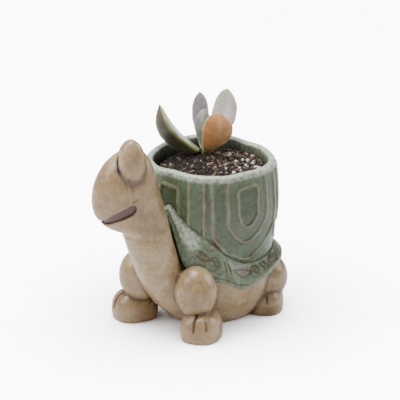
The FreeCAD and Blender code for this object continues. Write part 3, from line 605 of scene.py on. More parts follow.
# Ceramic animal: its forms are blended on a grid, as wet clay is joined and smoothed, then parted by form
animal = {
    "voxel": 0.7, "low": (-47, -92, -2.5), "high": (47, 64, 129), "drain": 4.5,
    "bowl": ((0, 25.5), (3, 28.8), (8, 32), (14, 34.2), (24, 36.2), (38, 37)),  # height and radius
    "cavity": ((7.5, 19), (12, 24.5), (20, 28.5), (30, 31), (38, 32.3), (47, 33.2)),
    "turn": math.radians(40), "neckAxis": (-3.6, -55.0), "headPower": 2.15,
    # height, centre x and y, radius of the chest and neck
    "neck": (
        (-3, 0, -10.5, 10.5), (0, 0, -13.5, 11), (6, 0, -22, 13), (14, 0, -31.5, 14), (24, 0, -39.4, 14),
        (35, 0, -47, 13.6), (49.5, -1.2, -51.4, 14.2), (58, -2.2, -54.2, 14.4),
    ),
    # height, back and front reach along the head, half width
    "head": (
        (62, -15, 13.6, 13), (66, -14.2, 14, 13), (67.8, -13.8, 19, 13.2), (69.5, -13.4, 24.3, 13.4),
        (72, -12.8, 27, 13.6), (74.5, -12.2, 29.2, 13.8), (77.5, -11.4, 31.4, 14), (82, -10.2, 32.6, 14.3),
        (88, -8.6, 33, 14.6), (95, -7, 32, 14.2), (102, -5.3, 29.4, 12.8), (108.5, -3.2, 25.6, 10.7),
        (113.5, -0.5, 20.6, 8), (117, 3, 15.5, 4.5), (119, 6, 12, 1.6),
    ),
    # side, reach ahead and height of each eye, then the half sizes of both
    "eyes": {"left_eye": (8.0, 10.0, 111.5), "right_eye": (-6.5, 8.4, 106.4)}, "eye": (6.8, 8.2, 15.0),
    # centre x, y and z, half sizes across, along and up, outward turn, power of its roundness,
    # shift of the right one
    "limbs": {
        "front_leg": (22.7, -40.6, 28.2, 12.5, 12.5, 16, 0, 2.0, 1.6),
        "front_foot": (26.8, -40.4, 5.8, 12, 13.6, 12.2, 22, 2.5, 1.6),
        "rear_leg": (26, 21, 20.3, 12.6, 13, 14.5, 0, 2.0, 0),
        "rear_foot": (27.5, 18.5, 5.2, 10.6, 12.8, 11.2, 34, 2.5, 0),
    },
    # toe grooves of a foot: turn from the foot's own heading, depth, lowest and highest level
    "toes": {"front_foot": ((-3, 1.4, 7.5, 17), (31, 0.7, 9, 14)), "rear_foot": ((10, 0.35, 8.5, 12),)},
    "toeWidth": 0.5, "mouthDepth": 2.0, "mouthCorner": 11.0,
    # the smile: height of its middle line and half its thickness, each by reach ahead
    "smileLine": ((8, 85.2), (11, 84.0), (20.5, 79.2), (26.8, 75.0), (29, 73.2), (34, 71.8)),
    "smileHalf": ((8, 2.7), (12, 3.2), (20, 2.9), (26, 2.0), (29, 1.2)),
    # raised or sunk lines on the cheek: start and end as reach ahead and height, then the rise
    "folds": (((12.8, 102), (11.3, 90.5), 0.6), ((10.2, 89.5), (7.4, 91.2), -0.25)),
    # how softly each kind of form melts into the rest, in the order that they are put on
    "melts": (
        ("head_and_neck", 7.0), ("tail", 3.0), ("front_left_leg", 3.0), ("front_right_leg", 3.0),
        ("rear_left_leg", 3.6), ("rear_right_leg", 3.6), ("front_left_foot", 1.2), ("front_right_foot", 1.2),
        ("rear_left_foot", 1.2), ("rear_right_foot", 1.2), ("left_eye", 1.4), ("right_eye", 1.4),
    ),
}


def headFrame(x, y):
    # reach ahead of the neck's axis and to the side of it, in the head's own heading
    aheadX, aheadY = -math.sin(animal["turn"]), -math.cos(animal["turn"])
    relX, relY = x - animal["neckAxis"][0], y - animal["neckAxis"][1]
    return relX * aheadX + relY * aheadY, relY * aheadX - relX * aheadY


def steep(field, step):
    # a field turned into a near distance by its own slope
    size = np.sqrt(sum(slope * slope for slope in np.gradient(field, step)))
    return field / np.clip(size, 0.35, None)


def ovoid(x, y, z, centre, halves, turn=0.0, power=2.0):
    angle = math.radians(turn)
    relX, relY, relZ = x - centre[0], y - centre[1], z - centre[2]
    across = relX * math.cos(angle) + relY * math.sin(angle)
    along = relY * math.cos(angle) - relX * math.sin(angle)
    shares = [np.abs(value) / half + 1e-6 for value, half in zip((across, along, relZ), halves)]
    q = sum(share ** power for share in shares) ** (1 / power)
    slope = np.sqrt(sum((share ** (power - 1) / half) ** 2 for share, half in zip(shares, halves)))
    return (q - 1) * q ** (power - 1) / np.maximum(slope, 1e-4)


def melt(first, second, reach):
    blend = np.clip(1 - np.abs(first - second) / reach, 0, 1)
    return np.minimum(first, second) - blend * blend * reach / 4


def neckHead(x, y, z, step):
    neck, head = np.array(animal["neck"], float), np.array(animal["head"], float)
    sine, cosine = math.sin(animal["turn"]), math.cos(animal["turn"])
    axisX, axisY = animal["neckAxis"]
    middle = (head[:, 1] + head[:, 2]) / 2
    halfLength = (head[:, 2] - head[:, 1]) / 2
    centres = axisX - sine * middle, axisY - cosine * middle
    head = np.column_stack([head[:, 0], *centres, halfLength, head[:, 3]])
    rows = np.concatenate([np.column_stack([neck, neck[:, 3]]), head])
    level = np.clip(z.ravel(), rows[0, 0], rows[-1, 0])
    chin = smoothStep(61, 66, level)  # soft below the chin, crisp above it
    curves = []
    for c in (1, 2, 3, 4):
        soft, crisp = (smoothTable(level, rows[:, 0], rows[:, c], blur) for blur in (3.5, 1.0))
        curves.append((soft * (1 - chin) + crisp * chin)[None, None, :])
    centreX, centreY, along, across = curves
    ahead = (centreX - x) * sine + (centreY - y) * cosine
    beside = (x - centreX) * cosine - (y - centreY) * sine
    power = animal["headPower"]
    q = ((np.abs(ahead) / along) ** power + (np.abs(beside) / across) ** power) ** (1 / power)
    over = np.clip(z - rows[-1, 0], 0, None)
    return steep(((q - 1) * np.minimum(along, across) + over * 1.5).astype(np.float32), step)


def tailForm(x, y, z):
    share = np.clip((y - 30) / 10, 0, 1)
    tail = np.sqrt(x * x + (z - 12 + share * 3) ** 2) - (6.5 - 2.8 * share)
    end = np.sqrt(x * x + (y - 39.5) ** 2 + (z - 9) ** 2) - 3.7
    return np.minimum(np.maximum(np.maximum(tail, y - 39.5), 28 - y), end)


def animalForms(x, y, z, step):
    heights, radii = zip(*animal["bowl"])
    radius = smoothTable(np.clip(z.ravel(), 0, heights[-1]), heights, radii, 1.2)[None, None, :]
    bowl = steep((np.sqrt(x * x + y * y) - radius + 0 * z).astype(np.float32), step)
    forms = {"body": np.maximum(bowl, z - heights[-1]), "head_and_neck": neckHead(x, y, z, step)}
    relX, relY = headFrame(x, y)
    for side, name in ((1, "left"), (-1, "right")):
        forms[name + "_eye"] = ovoid(relY, relX, z, animal["eyes"][name + "_eye"], animal["eye"])
        for limb, (centreX, centreY, centreZ, *halves, turn, power, shift) in animal["limbs"].items():
            centre = (side * centreX + (shift if side < 0 else 0), centreY, centreZ)
            forms[limb.replace("_", f"_{name}_")] = ovoid(x, y, z, centre, halves, side * turn, power)
    forms["tail"] = tailForm(x, y, z)
    return forms


def mouthForm(ahead, z, head):
    # the open wedge of the smile, round at its corner
    middle = np.interp(ahead, *zip(*animal["smileLine"]))
    half = np.interp(ahead, *zip(*animal["smileHalf"]))
    beyond = np.clip(animal["mouthCorner"] - ahead, 0, None)
    away = np.sqrt((z - middle) ** 2 + beyond ** 2)
    return np.maximum(away - half, -(head + animal["mouthDepth"]))


def toeForm(x, y, z, forms):
    toes = 9.0
    for side, name in ((1, "left"), (-1, "right")):
        for limb, grooves in animal["toes"].items():
            shape = animal["limbs"][limb]
            centreX, centreY, along, turn = shape[0], shape[1], shape[4], shape[6]
            foot = forms[limb.replace("_", f"_{name}_")]
            for fan, deep, bottom, top in grooves:
                angle = math.radians(side * (turn + fan))
                ahead = (x - side * centreX) * math.sin(angle) - (y - centreY) * math.cos(angle)
                beside = (x - side * centreX) * math.cos(angle) + (y - centreY) * math.sin(angle)
                groove = np.maximum(np.abs(beside) - animal["toeWidth"], along * 0.42 - ahead)
                groove = np.maximum(groove, np.maximum(z - top, bottom - z))
                toes = np.minimum(toes, np.maximum(groove, -(foot + deep)))
    return toes


def makeAnimal():
    step = animal["voxel"]
    low = np.array(animal["low"], float)
    counts = [int((h - l) / step) for l, h in zip(animal["low"], animal["high"])]
    axes = [(l + np.arange(c) * step).astype(np.float32) for l, c in zip(low, counts)]
    x, y, z = np.meshgrid(*axes, indexing="ij", sparse=True)
    forms = animalForms(x, y, z, step)
    union, head = forms["body"], forms["head_and_neck"]
    crease = np.zeros(counts, np.float32)
    lash = np.zeros(counts, np.float32)
    for name, reach in animal["melts"]:
        form = forms[name]
        gap = np.abs(union - form)
        stain = 0.6 * np.exp(-(gap / 0.7) ** 2) + 0.4 * np.exp(-(gap / 2.4) ** 2)
        stain = stain * smoothStep(5, 2, np.maximum(union, form))
        crease = np.maximum(crease, stain * (1.0 if reach < 5 else 0.08))
        if name.endswith("eye"):
            lash = np.maximum(lash, np.exp(-(gap / 0.9) ** 2))
        union = melt(union, form, reach)
    relX, relY = headFrame(x, y)
    crease = crease + 0.5 * lash * smoothStep(105, 99, z)
    lash = lash * smoothStep(12.5, 14.5, relX) * smoothStep(105, 108, z) * smoothStep(117, 115, z)
    for start, end, raised in animal["folds"]:
        away = fromRun(relX, z, start, end)
        onSkin = np.abs(head) < 4
        fold = np.exp(-(away / 0.85) ** 2) * (z > 80) * onSkin
        union = union - raised * fold
        crease = crease + (0.45 * fold if raised < 0 else 0.3 * np.exp(-((away - 1.5) / 0.6) ** 2) * onSkin)
    mouth, toes = mouthForm(relX, z, head), toeForm(x, y, z, forms)
    union = -melt(-union, mouth, 0.8)
    union = -melt(-union, toes, 0.9)
    heights, radii = zip(*animal["cavity"])
    around = np.sqrt(x * x + y * y) + 0 * z
    hollow = smoothTable(np.clip(z.ravel(), heights[0], heights[-1]), heights, radii, 1.0)[None, None, :]
    cavity = np.maximum(np.maximum(around - hollow, heights[0] - z), z - heights[-1])
    for cut in (cavity, around - animal["drain"], z):
        union = np.maximum(union, -cut)
    union = union.astype(np.float32)

    points, faces = netSurface(union, low, step)
    # painted shade on the front leg that is turned away from the light, added to the crease stain
    pointX, pointY, pointZ = points.T
    far = smoothStep(-10, -24, pointX) * smoothStep(0, -16, pointY) * smoothStep(46, 26, pointZ)
    inToes = smoothStep(0.7, 0.0, readField(toes, points, low, step))
    crease = readField(crease.astype(np.float32), points, low, step) + 0.55 * inToes + 0.24 * far
    marks = {
        "crease": np.clip(crease, 0, 1),
        "mouth": smoothStep(0.5, 0.0, readField(mouth.astype(np.float32), points, low, step)),
        "lash": readField(lash.astype(np.float32), points, low, step),
    }
    middle = points[faces].mean(1)
    owner = np.stack([readField(form + 0 * union, middle, low, step) for form in forms.values()]).argmin(0)
    normals = np.stack([readField(slope, points, low, step) for slope in np.gradient(union, step)], -1)
    normals /= np.linalg.norm(normals, axis=1)[:, None] + 1e-9
    for place, name in enumerate(forms):
        addForm(name, points, faces[owner == place], normals, marks)


def netSurface(field, low, step):
    # surface nets: one point in each cell the skin crosses, one quad on each crossed grid edge
    inside = field < 0
    counts = np.array(field.shape)
    offsets = np.array([(a, b, c) for a in (0, 1) for b in (0, 1) for c in (0, 1)])
    total = 0
    for a, b, c in offsets:
        total = total + inside[a:counts[0] - 1 + a, b:counts[1] - 1 + b, c:counts[2] - 1 + c].astype(np.int8)
    cells = np.argwhere((total > 0) & (total < 8))
    index = np.full(counts - 1, -1, np.int32)
    index[tuple(cells.T)] = np.arange(len(cells))
    values = [field[tuple((cells + offset).T)] for offset in offsets]
    place = np.zeros((len(cells), 3))
    hits = np.zeros(len(cells))
    for first in range(8):
        for second in range(first + 1, 8):
            if np.abs(offsets[first] - offsets[second]).sum() != 1:
                continue
            one, two = values[first], values[second]
            crossed = (one < 0) != (two < 0)
            share = np.where(crossed, one / np.where(crossed, one - two, 1), 0)
            spot = offsets[first] + share[:, None] * (offsets[second] - offsets[first])
            place += np.where(crossed[:, None], spot, 0)
            hits += crossed
    points = low + (cells + place / hits[:, None]) * step
    faces = []
    for axis in range(3):
        beside = [a for a in range(3) if a != axis]
        near, far = [slice(1, -1)] * 3, [slice(1, -1)] * 3
        near[axis], far[axis] = slice(0, -1), slice(1, None)
        one, two = inside[tuple(near)], inside[tuple(far)]
        edges = np.argwhere(one != two)
        leaving = one[tuple(edges.T)]
        edges[:, beside] += 1
        square = []
        for shift in ((0, 0), (1, 0), (1, 1), (0, 1)):
            cell = edges.copy()
            cell[:, beside] -= shift
            square.append(index[tuple(cell.T)])
        square = np.stack(square, -1)
        turned = leaving if axis == 1 else ~leaving
        square[turned] = square[turned][:, ::-1]
        faces.append(square)
    return points, np.concatenate(faces)


def readField(field, points, low, step):
    # trilinear value of a grid field at points
    where = (points - low) / step
    base = np.clip(where.astype(int), 0, np.array(field.shape) - 2)
    share = where - base
    value = 0
    for corner in [(a, b, c) for a in (0, 1) for b in (0, 1) for c in (0, 1)]:
        weight = np.prod(np.where(corner, share, 1 - share), axis=1)
        value = value + weight * field[tuple((base + corner).T)]
    return value


def openLoops(faces):
    # the rings of edges that only one face uses
    known = set(map(tuple, np.concatenate([faces[:, [a, (a + 1) % 4]] for a in range(4)]).tolist()))
    onward = {}
    for first, second in known:
        if (second, first) not in known:
            onward.setdefault(first, []).append(second)
    loops = []
    while onward:
        start = here = next(iter(onward))
        loop = [start]
        while here in onward:
            after = onward[here].pop()
            if not onward[here]:
                del onward[here]
            if after == start:
                break
            loop.append(after)
            here = after
        loops.append(loop)
    return loops


def addForm(name, points, faces, normals, marks):
    # one form of the animal, closed inside where it meets its neighbours
    used, faces = np.unique(faces, return_inverse=True)
    faces = faces.reshape(-1, 4)
    loops = openLoops(faces)
    caps = []
    for centre, loop in enumerate(loops, len(used)):
        caps += [(second, first, centre) for first, second in zip(loop, loop[1:] + loop[:1])]
    own = np.array(list(points[used]) + [points[used][loop].mean(0) for loop in loops])
    closing = np.zeros(len(loops))
    given = {mark: np.append(values[used], closing) for mark, values in marks.items()}
    piece = newObject(plainName(name, "Form"), own, faces.tolist() + caps, cream, given)
    smooth = np.concatenate([normals[used], np.tile((0.0, 0.0, 1.0), (len(loops), 1))])
    piece.data.normals_split_custom_set_from_vertices(smooth.tolist())
    handOver(piece, "planter", name)


makeAnimal()
print("animal done")


# Damp potting mix: almost black peat with brown fibre
mixLook = {
    "sockets": {"Roughness": 0.85},
    "patterns": {"coarse": (2.381, 6, 0.75), "patch": (11.111, 3, 0.5), "fibre": (1.1111, 4, 0.8)},
    "bump": ("fibre", 0.8, 0.8), "patches": [(0.42, 0.0), (0.6, 1.0)],
    "dark": [(0.36, "#100d0c"), (0.52, "#241d1a"), (0.64, "#4a3b33"), (0.74, "#6d5a4d")],
    "warm": [(0.4, "#171211"), (0.58, "#3b2e27"), (0.7, "#7a6655")],
}
# Mineral grains: each takes its own tint from the stops, with fine pits over it
grainLook = {
    "patterns": {"pits": (0.6667, 3, 0.7)}, "marks": ("grain",), "bump": ("pits", 0.5, 0.3),
    "pitting": [(0.35, "#8a8279"), (0.6, "#ffffff")], "pitShare": 0.75,
}
# expanded perlite is chalky white volcanic glass foam
perliteStops = [(0.0, "#cfc8c4"), (0.3, "#f1eeec"), (1.0, "#ffffff")]
# bark and pumice chips are tan, brown, pinkish and grey
gritStops = [
    (0.0, "#1d1614"), (0.3, "#3f312b"), (0.5, "#6d5747"), (0.66, "#94805f"),
    (0.8, "#70645c"), (0.9, "#7f4f4b"), (1.0, "#b0a08c"),
]


def makeMixMaterial():
    material, tree, shader, parts = newMaterial("dampPottingMix", mixLook)
    dark = addNode(tree, "ValToRGB", {"Fac": parts["coarse"], "stops": mixLook["dark"]})
    warm = addNode(tree, "ValToRGB", {"Fac": parts["coarse"], "stops": mixLook["warm"]})
    patch = addNode(tree, "ValToRGB", {"Fac": parts["patch"], "stops": mixLook["patches"]})
    mixed = addNode(tree, "Mix", {"data_type": "RGBA", 0: patch, 6: dark, 7: warm})
    tree.links.new(mixed.outputs[2], shader.inputs["Base Color"])
    return material


def makeGrainMaterial(name, stops, roughness):
    material, tree, shader, parts = newMaterial(name, {**grainLook, "sockets": {"Roughness": roughness}})
    tint = addNode(tree, "ValToRGB", {"Fac": parts["grain"], "stops": stops})
    pits = addNode(tree, "ValToRGB", {"Fac": parts["pits"], "stops": grainLook["pitting"]})
    pitted = {"data_type": "RGBA", "blend_type": "MULTIPLY", 0: grainLook["pitShare"], 6: tint, 7: pits}
    tree.links.new(addNode(tree, "Mix", pitted).outputs[2], shader.inputs["Base Color"])
    return material


mixPaint = makeMixMaterial()
perlitePaint = makeGrainMaterial("chalkyPerlite", perliteStops, 0.7)
gritPaint = makeGrainMaterial("barkAndPumiceGrit", gritStops, 0.8)

# Potting mix: one closed root ball with a lumpy, heaped top that its grains lie on
mixShape = {
    "headroom": 9.0, "crown": 4.6, "crownFall": 300, "heap": 1.2, "dip": 1.4, "clearance": 0.5,
    "columns": 200, "topRows": 74, "sideRows": 16,
    "lumps": ((11, 41, 0.675), (5, 42, 0.45), (2.4, 43, 0.27)),  # size, seed and rise
    "stemRight": -12.0, "stemBack": 10.0,
}
mixLevel = rim - mixShape["headroom"]


def mixHeight(x, y):
    level = mixLevel + mixShape["crown"] - (x * x + y * y) / mixShape["crownFall"]
    lumps = sum(rise * ripple(x, y, 0, size, seed) for size, seed, rise in mixShape["lumps"])
    heap = mixShape["heap"] * smoothStep(4, 26, toRight(x, y))
    return level + lumps + heap - mixShape["dip"] * smoothStep(-4, -26, toRight(x, y))


def wallInside(azimuth, height):
    # the inside of the pot above the bowl, of both where they meet, and of the bowl below
    down = np.clip((rim - height) / (rim - seat), 0, 1)
    wall = potShape["wall"] * 1.14 * (1 + potShape["thicken"] * down)
    shellSide = shellRadius(azimuth, rim) - wall - potShape["draw"] * down
    bowlSide = np.interp(height, *zip(*animal["cavity"]))
    if height > 46:
        return shellSide
    return np.minimum(shellSide, bowlSide) if height > 38 else bowlSide + 0 * shellSide


def makeMix():
    size = mixShape
    azimuths, ahead = spokes(size["columns"])
    edge = wallInside(azimuths, mixLevel) - size["clearance"]
    rings = []
    for share in np.linspace(0.012, 1, size["topRows"]):
        spot = ahead * (edge * share)[:, None]
        rings.append(np.column_stack([spot, mixHeight(spot[:, 0], spot[:, 1])]))
    brim = rings[-1][:, 2]
    floor = animal["cavity"][0][0] + size["clearance"]
    for share in np.linspace(0.03, 1, size["sideRows"]):
        height = mixLevel * (1 - share) + floor * share
        radius = wallInside(azimuths, height) - size["clearance"]
        rough = 0.25 * ripple(ahead[:, 0] * radius, ahead[:, 1] * radius, height, 6, 44) - 0.25
        rings.append(ringAt(ahead, radius + rough, brim * (1 - share) + floor * share))
    rings += [rings[-1] * (share, share, 1) for share in (0.7, 0.35, 0.05)]
    points, faces = closedTube(rings, turned=True)
    handOver(newObject("pottingMix", points, faces, mixPaint), "plant", "potting_mix")
    return edge


# Grains: size, number to a square millimetre, seed, CAD node and slot, then how densely they lie:
# the least, how much more there is towards the photograph's right, and where that begins and ends
grains = {
    "perliteGrains": (3.2, 0.028, 5, "perlite_grains", "perlite", perlitePaint, (0.03, 1.0, 4, 20)),
    "gritGrains": (2.7, 0.2, 15, "grit_grains", "grit", gritPaint, (0.3, 0.7, -6, 8)),
    "mixCrumbs": (1.9, 0.6, 25, None, "potting_mix", mixPaint, (1.0, -0.5, -6, 10)),
}
grainShape = {
    "detail": 3, "lumpiness": 0.9, "lumpScale": 1.6, "least": (0.55, 0.55, 0.45), "most": (1.15, 1.0, 0.85),
    "groundHalf": 34, "groundRows": 90, "groundLift": 0.15, "wallGap": 1.6, "stemGap": 3.8,
}


def grainTree():
    # scatters one irregular grain over a surface, by the surface's own density mark
    tree = bpy.data.node_groups.new("grainScatter", "GeometryNodeTree")
    kinds = {"Density": "Float", "Size": "Float", "Seed": "Int", "Material": "Material"}
    for name, kind in {"Geometry": "Geometry", **kinds}.items():
        tree.interface.new_socket(name, in_out="INPUT", socket_type="NodeSocket" + kind)
    tree.interface.new_socket("Geometry", in_out="OUTPUT", socket_type="NodeSocketGeometry")
    given = tree.nodes.new("NodeGroupInput").outputs
    mark = addNode(tree, "GeometryNodeInputNamedAttribute", {"data_type": "FLOAT", "Name": "density"})
    amount = addNode(tree, "Math", {"operation": "MULTIPLY", 0: mark, 1: given["Density"]})
    spread = {"Mesh": given["Geometry"], "Density": amount, "Seed": given["Seed"]}
    spread = addNode(tree, "GeometryNodeDistributePointsOnFaces", spread)
    ball = addNode(tree, "GeometryNodeMeshIcoSphere", {"Radius": 0.5, "Subdivisions": grainShape["detail"]})
    lumps = addNode(tree, "TexNoise", {"Scale": grainShape["lumpScale"], "Detail": 2.0}).outputs["Color"]
    pushed = addNode(tree, "VectorMath", {"operation": "SUBTRACT", 0: lumps, 1: (0.5, 0.5, 0.5)})
    pushed = addNode(tree, "VectorMath", {"operation": "SCALE", 0: pushed, "Scale": grainShape["lumpiness"]})
    grain = addNode(tree, "GeometryNodeSetPosition", {"Geometry": ball, "Offset": pushed})
    chances = []
    for offset, kind, low, high in (
        (1, "FLOAT_VECTOR", grainShape["least"], grainShape["most"]),
        (2, "FLOAT_VECTOR", (0, 0, 0), (6.28, 6.28, 6.28)),
        (3, "FLOAT", 0.0, 1.0),
    ):
        seed = addNode(tree, "Math", {"operation": "ADD", 0: given["Seed"], 1: float(offset)})
        first = 2 if kind == "FLOAT" else 0
        settings = {"data_type": kind, first: low, first + 1: high, "Seed": seed}
        chances.append(addNode(tree, "FunctionNodeRandomValue", settings))
    scale = addNode(tree, "VectorMath", {"operation": "SCALE", 0: chances[0], "Scale": given["Size"]})
    placed = {"Points": spread, "Instance": grain, "Rotation": chances[1], "Scale": scale}
    placed = addNode(tree, "GeometryNodeInstanceOnPoints", placed)
    kept = {"data_type": "FLOAT", "domain": "INSTANCE", "Geometry": placed, "Name": "grain"}
    kept = addNode(tree, "GeometryNodeStoreNamedAttribute", {**kept, "Value": chances[2]})
    real = addNode(tree, "GeometryNodeRealizeInstances", {"Geometry": kept})
    painted = addNode(tree, "GeometryNodeSetMaterial", {"Geometry": real, "Material": given["Material"]})
    smooth = addNode(tree, "GeometryNodeSetShadeSmooth", {"Geometry": painted})
    tree.links.new(smooth.outputs[0], tree.nodes.new("NodeGroupOutput").inputs[0])
    return tree


def scatter(tree, name, edge):
    # the ground is a plain sheet of the mix's surface, marked with the grains' density
    size, density, seed, node, slot, material, (least, more, begins, ends) = grains[name]
    shape, count = grainShape, grainShape["groundRows"]
    line = np.linspace(-shape["groundHalf"], shape["groundHalf"], count)
    x, y = np.meshgrid(line, line, indexing="ij")
    headings = np.arange(len(edge) + 1) * 360 / len(edge)
    wall = np.interp(np.degrees(np.arctan2(x, -y)) % 360, headings, np.append(edge, edge[0]))
    clear = np.hypot(x - mixShape["stemRight"], y - mixShape["stemBack"]) > shape["stemGap"]
    clear &= np.hypot(x, y) < wall - shape["wallGap"]
    marks = {"density": np.where(clear, least + more * smoothStep(begins, ends, toRight(x, y)), 0)}
    points = np.stack([x, y, mixHeight(x, y) + shape["groundLift"]], -1).reshape(-1, 3)
    here = (np.arange(count - 1)[:, None] * count + np.arange(count - 1)[None, :]).ravel()
    faces = np.stack([here, here + count, here + count + 1, here + 1], -1).tolist()
    ground = newObject(name + "Ground", points, faces, None, marks)
    modifier = ground.modifiers.new("scatter", "NODES")
    modifier.node_group = tree
    values = {"Density": density / mm ** 2, "Size": size * mm, "Seed": seed, "Material": material}
    for item in tree.interface.items_tree:
        if item.in_out == "INPUT" and item.name in values:
            modifier[item.identifier] = values[item.name]
    bpy.context.view_layer.update()
    plain = bpy.data.meshes.new_from_object(ground.evaluated_get(bpy.context.evaluated_depsgraph_get()))
    ground.modifiers.remove(modifier)
    bpy.data.objects.remove(ground)
    plain.name = name
    plain.materials.clear()
    plain.materials.append(material)
    piece = bpy.data.objects.new(name, plain)
    bpy.context.scene.collection.objects.link(piece)
    handOver(piece, "plant", node)
    print(name, len(plain.vertices), "points")


def makeGrains(edge):
    tree = grainTree()
    for name in grains:
        scatter(tree, name, edge)


makeGrains(makeMix())
print("mix and grains done")


# Leaves: fleshy and keeled, each with its own bloom, rising from a short stem
plant = {
    "rows": 44, "columns": 40, "leafDrop": 1.6, "heel": 0.12, "clearance": 0.2, "twistBy": 0.3,
    "stemRadius": 2.6, "stemRise": 7.0, "stemColumns": 32,
    # share of the leaf's length, then the share of its width, thickness or length, and the blur
    "wide": ((
        (0, 0.3), (0.15, 0.48), (0.35, 0.8), (0.58, 1), (0.78, 0.93), (0.91, 0.62), (0.97, 0.3), (1, 0.03),
    ), 0.02),
    "thick": (((0, 0.4), (0.15, 0.7), (0.35, 0.95), (0.58, 1), (0.78, 0.85), (0.92, 0.5), (1, 0.06)), 0.03),
    "bow": (((0, 0), (0.15, 0.05), (0.35, 0.1), (0.58, 0.11), (0.78, 0.075), (0.93, 0.02), (1, -0.01)), 0.04),
    # height over the mix and radius
    "stem": (
        (-30, 0.35), (-20, 0.9), (-10, 1.7), (-3, 2.4), (0, 2.6), (2, 2.5), (3, 2.3), (4.5, 2.6), (5.5, 2.4),
        (6.4, 2.0), (7.0, 1.2),
    ),
}
# slot, azimuth, lean, length, width, thickness, roll round its own length, shift to the right and up,
# then tints: under, face, edge, foot, tip
leaves = {
    "leaf_centre": (
        "leaf_grey", 20, 3, 26.5, 9.6, 4.6, 14, -0.6, 0.4,
        "#7d8478", "#8d948a", "#c3c8b6", "#8f9d6c", "#9c9f95",
    ),
    "leaf_left": (
        "leaf_green", 302, 40, 37.0, 18.0, 10.0, 15, -0.4, 0.8,
        "#453f22", "#f4efec", "#b4b878", "#6c7430", "#5e5338",
    ),
    "leaf_back_left": (
        "leaf_grey", 234, 20, 34.8, 13.4, 5.4, 28, 0.0, 0.4,
        "#b9b3b8", "#c3bdc6", "#d4cfd4", "#a9ae98", "#cfc9d2",
    ),
    "leaf_back_right": (
        "leaf_grey", 172, 27, 39.0, 16.4, 6.2, 20, -2.4, 0.6,
        "#c4bebc", "#ded7d5", "#ddd6c8", "#b0b0a6", "#dccfbd",
    ),
    "leaf_front": (
        "leaf_orange", 96, 20, 29.0, 19.0, 7.0, -46, -3.4, 0.9,
        "#c68547", "#cda07a", "#eccda0", "#7c7a30", "#cf8f54",
    ),
}
# fleshy leaf: thick translucent skin under a pale waxy bloom
leafLook = {
    "sockets": {
        "Roughness": 0.5, "Sheen Weight": 0.25, "Subsurface Weight": 0.2, "Subsurface Scale": 0.0015,
        "Subsurface Radius": (1.0, 0.7, 0.4),
    },
    "patterns": {"bloom": (7.692, 4, 0.6), "fleck": (1.4286, 3, 0.5)}, "bump": ("fleck", 0.15, 0.3),
    "marks": ("along", "over", "margin", "keel"), "bloomTints": [(0.25, "#a09a8e"), (0.55, "#ffffff")],
    "footShare": [(0.08, 1.0), (0.4, 0.0)], "tipShare": [(0.72, 0.0), (0.98, 0.75)],
}
stemLook = {
    "sockets": {"Roughness": 0.6}, "patterns": {"bark": (3.3333, 4, 0.5)},
    "tints": [(0.35, "#4c4a22"), (0.6, "#7b7c3c"), (0.75, "#8c7a4c")],
}


def makeLeafMaterial(name, under, face, edge, foot, tip):
    look = leafLook
    material, tree, shader, parts = newMaterial(name, look)
    skin = addNode(tree, "Mix", {"data_type": "RGBA", 0: parts["over"], 6: under, 7: face})
    uneven = addNode(tree, "Math", {"operation": "MULTIPLY_ADD", 0: parts["fleck"], 1: 0.3, 2: -0.05})
    uneven = addNode(tree, "Math", {"operation": "MULTIPLY_ADD", 0: parts["bloom"], 1: 0.7, 2: uneven})
    uneven = addNode(tree, "ValToRGB", {"Fac": uneven, "stops": look["bloomTints"]})
    skin = addNode(tree, "Mix", {"data_type": "RGBA", "blend_type": "MULTIPLY", 0: 0.5, 6: skin, 7: uneven})
    blush = addNode(tree, "Math", {"operation": "MULTIPLY_ADD", 0: parts["bloom"], 1: 0.35, 2: -0.175})
    blush = addNode(tree, "Math", {"operation": "ADD", 0: blush, 1: parts["along"]})
    for stops, tint in ((look["footShare"], foot), (look["tipShare"], tip)):
        share = addNode(tree, "ValToRGB", {"Fac": blush, "stops": stops})
        skin = addNode(tree, "Mix", {"data_type": "RGBA", 0: share, 6: skin, 7: tint})
    skin = addTints(tree, parts, skin, (("margin", None, 0, 0.75, edge), ("keel", None, 0, 0.35, edge)))
    tree.links.new(skin.outputs[2], shader.inputs["Base Color"])
    return material


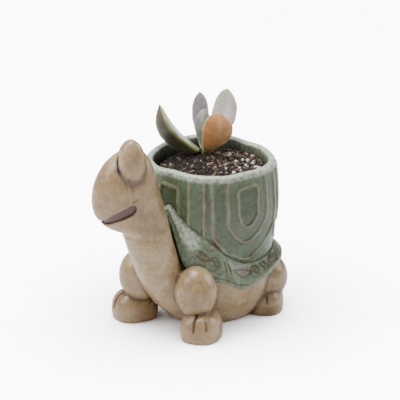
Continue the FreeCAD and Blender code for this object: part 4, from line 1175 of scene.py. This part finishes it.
def makeLeaf(node):
    slot, azimuth, lean, length, width, thickness, roll, aside, lift, *tints = leaves[node]
    turn, tilt, twist = math.radians(azimuth), math.radians(lean), math.radians(roll)
    out = np.array([math.sin(turn), -math.cos(turn), 0.0])
    across = np.array([math.cos(turn), math.sin(turn), 0.0])
    upright = np.array([0.0, 0.0, 1.0])
    along = out * math.sin(tilt) + upright * math.cos(tilt)
    face = upright * math.sin(tilt) - out * math.cos(tilt)
    foot = np.array([mixShape["stemRight"], mixShape["stemBack"], mixLevel + plant["stemRise"]])
    foot = foot + out * plant["clearance"] + (math.cos(photoTurn) * aside, math.sin(photoTurn) * aside, lift)
    if node != "leaf_centre":
        foot = foot + out * (plant["stemRadius"] + thickness * plant["heel"]) - upright * plant["leafDrop"]
    angles = np.arange(plant["columns"]) * 2 * math.pi / plant["columns"]
    beside = np.cos(angles)
    top = 0.24 * np.sqrt(np.abs(np.sin(angles))) - 0.1 * np.exp(-(beside / 0.35) ** 2)
    through = np.where(np.sin(angles) >= 0, top, -0.84 * (1 - np.abs(beside) ** 1.6))
    rings, shares = [], []
    for share in np.linspace(0, 1, plant["rows"]) ** 0.85:
        wide, thick, bow = (
            float(smoothTable(share, *zip(*plant[key][0]), plant[key][1])) for key in ("wide", "thick", "bow")
        )
        twisted = twist * min(1.0, share / plant["twistBy"])
        side = across * math.cos(twisted) + face * math.sin(twisted)
        front = face * math.cos(twisted) - across * math.sin(twisted)
        middle = foot + along * (length * share) - face * (length * bow)
        halfWide = beside * width / 2 * max(wide, 0.03)
        halfThick = through * thickness * max(thick, 0.05)
        rings.append(middle + side * halfWide[:, None] + front * halfThick[:, None])
        shares.append(share)
    points, faces = closedTube(rings)
    around = {
        "over": smoothStep(-0.15, 0.25, np.sin(angles)),
        "margin": np.exp(-((1 - np.abs(beside)) / 0.07) ** 2),
        "keel": np.where(np.sin(angles) < 0, np.exp(-(beside / 0.2) ** 2), 0),
    }
    marks = {mark: np.append(np.tile(row, len(rings)), [row[0], row[0]]) for mark, row in around.items()}
    marks["along"] = np.append(np.repeat(shares, len(angles)), [0, 1])
    material = makeLeafMaterial(plainName(node, "Skin"), *tints)
    handOver(newObject(plainName(node), points, faces, material, marks), "plant", node)


def makeStem():
    # a short woody stem with the scars of shed leaves, and its root below the mix
    material, tree, shader, parts = newMaterial("greenWoodyStem", stemLook)
    bark = addNode(tree, "ValToRGB", {"Fac": parts["bark"], "stops": stemLook["tints"]})
    tree.links.new(bark.outputs[0], shader.inputs["Base Color"])
    angles = np.arange(plant["stemColumns"]) * 2 * math.pi / plant["stemColumns"]
    rings = []
    for height, radius in plant["stem"]:
        ring = radius * (1 + 0.06 * np.sin(angles * 3 + height))
        x, y = mixShape["stemRight"] + ring * np.cos(angles), mixShape["stemBack"] + ring * np.sin(angles)
        rings.append(np.column_stack([x, y, mixLevel + height + 0 * ring]))
    points, faces = closedTube(rings)
    handOver(newObject("plantStem", points, faces, material), "plant", "plant_stem")


for leafNode in leaves:
    makeLeaf(leafNode)
makeStem()
print("plant done")
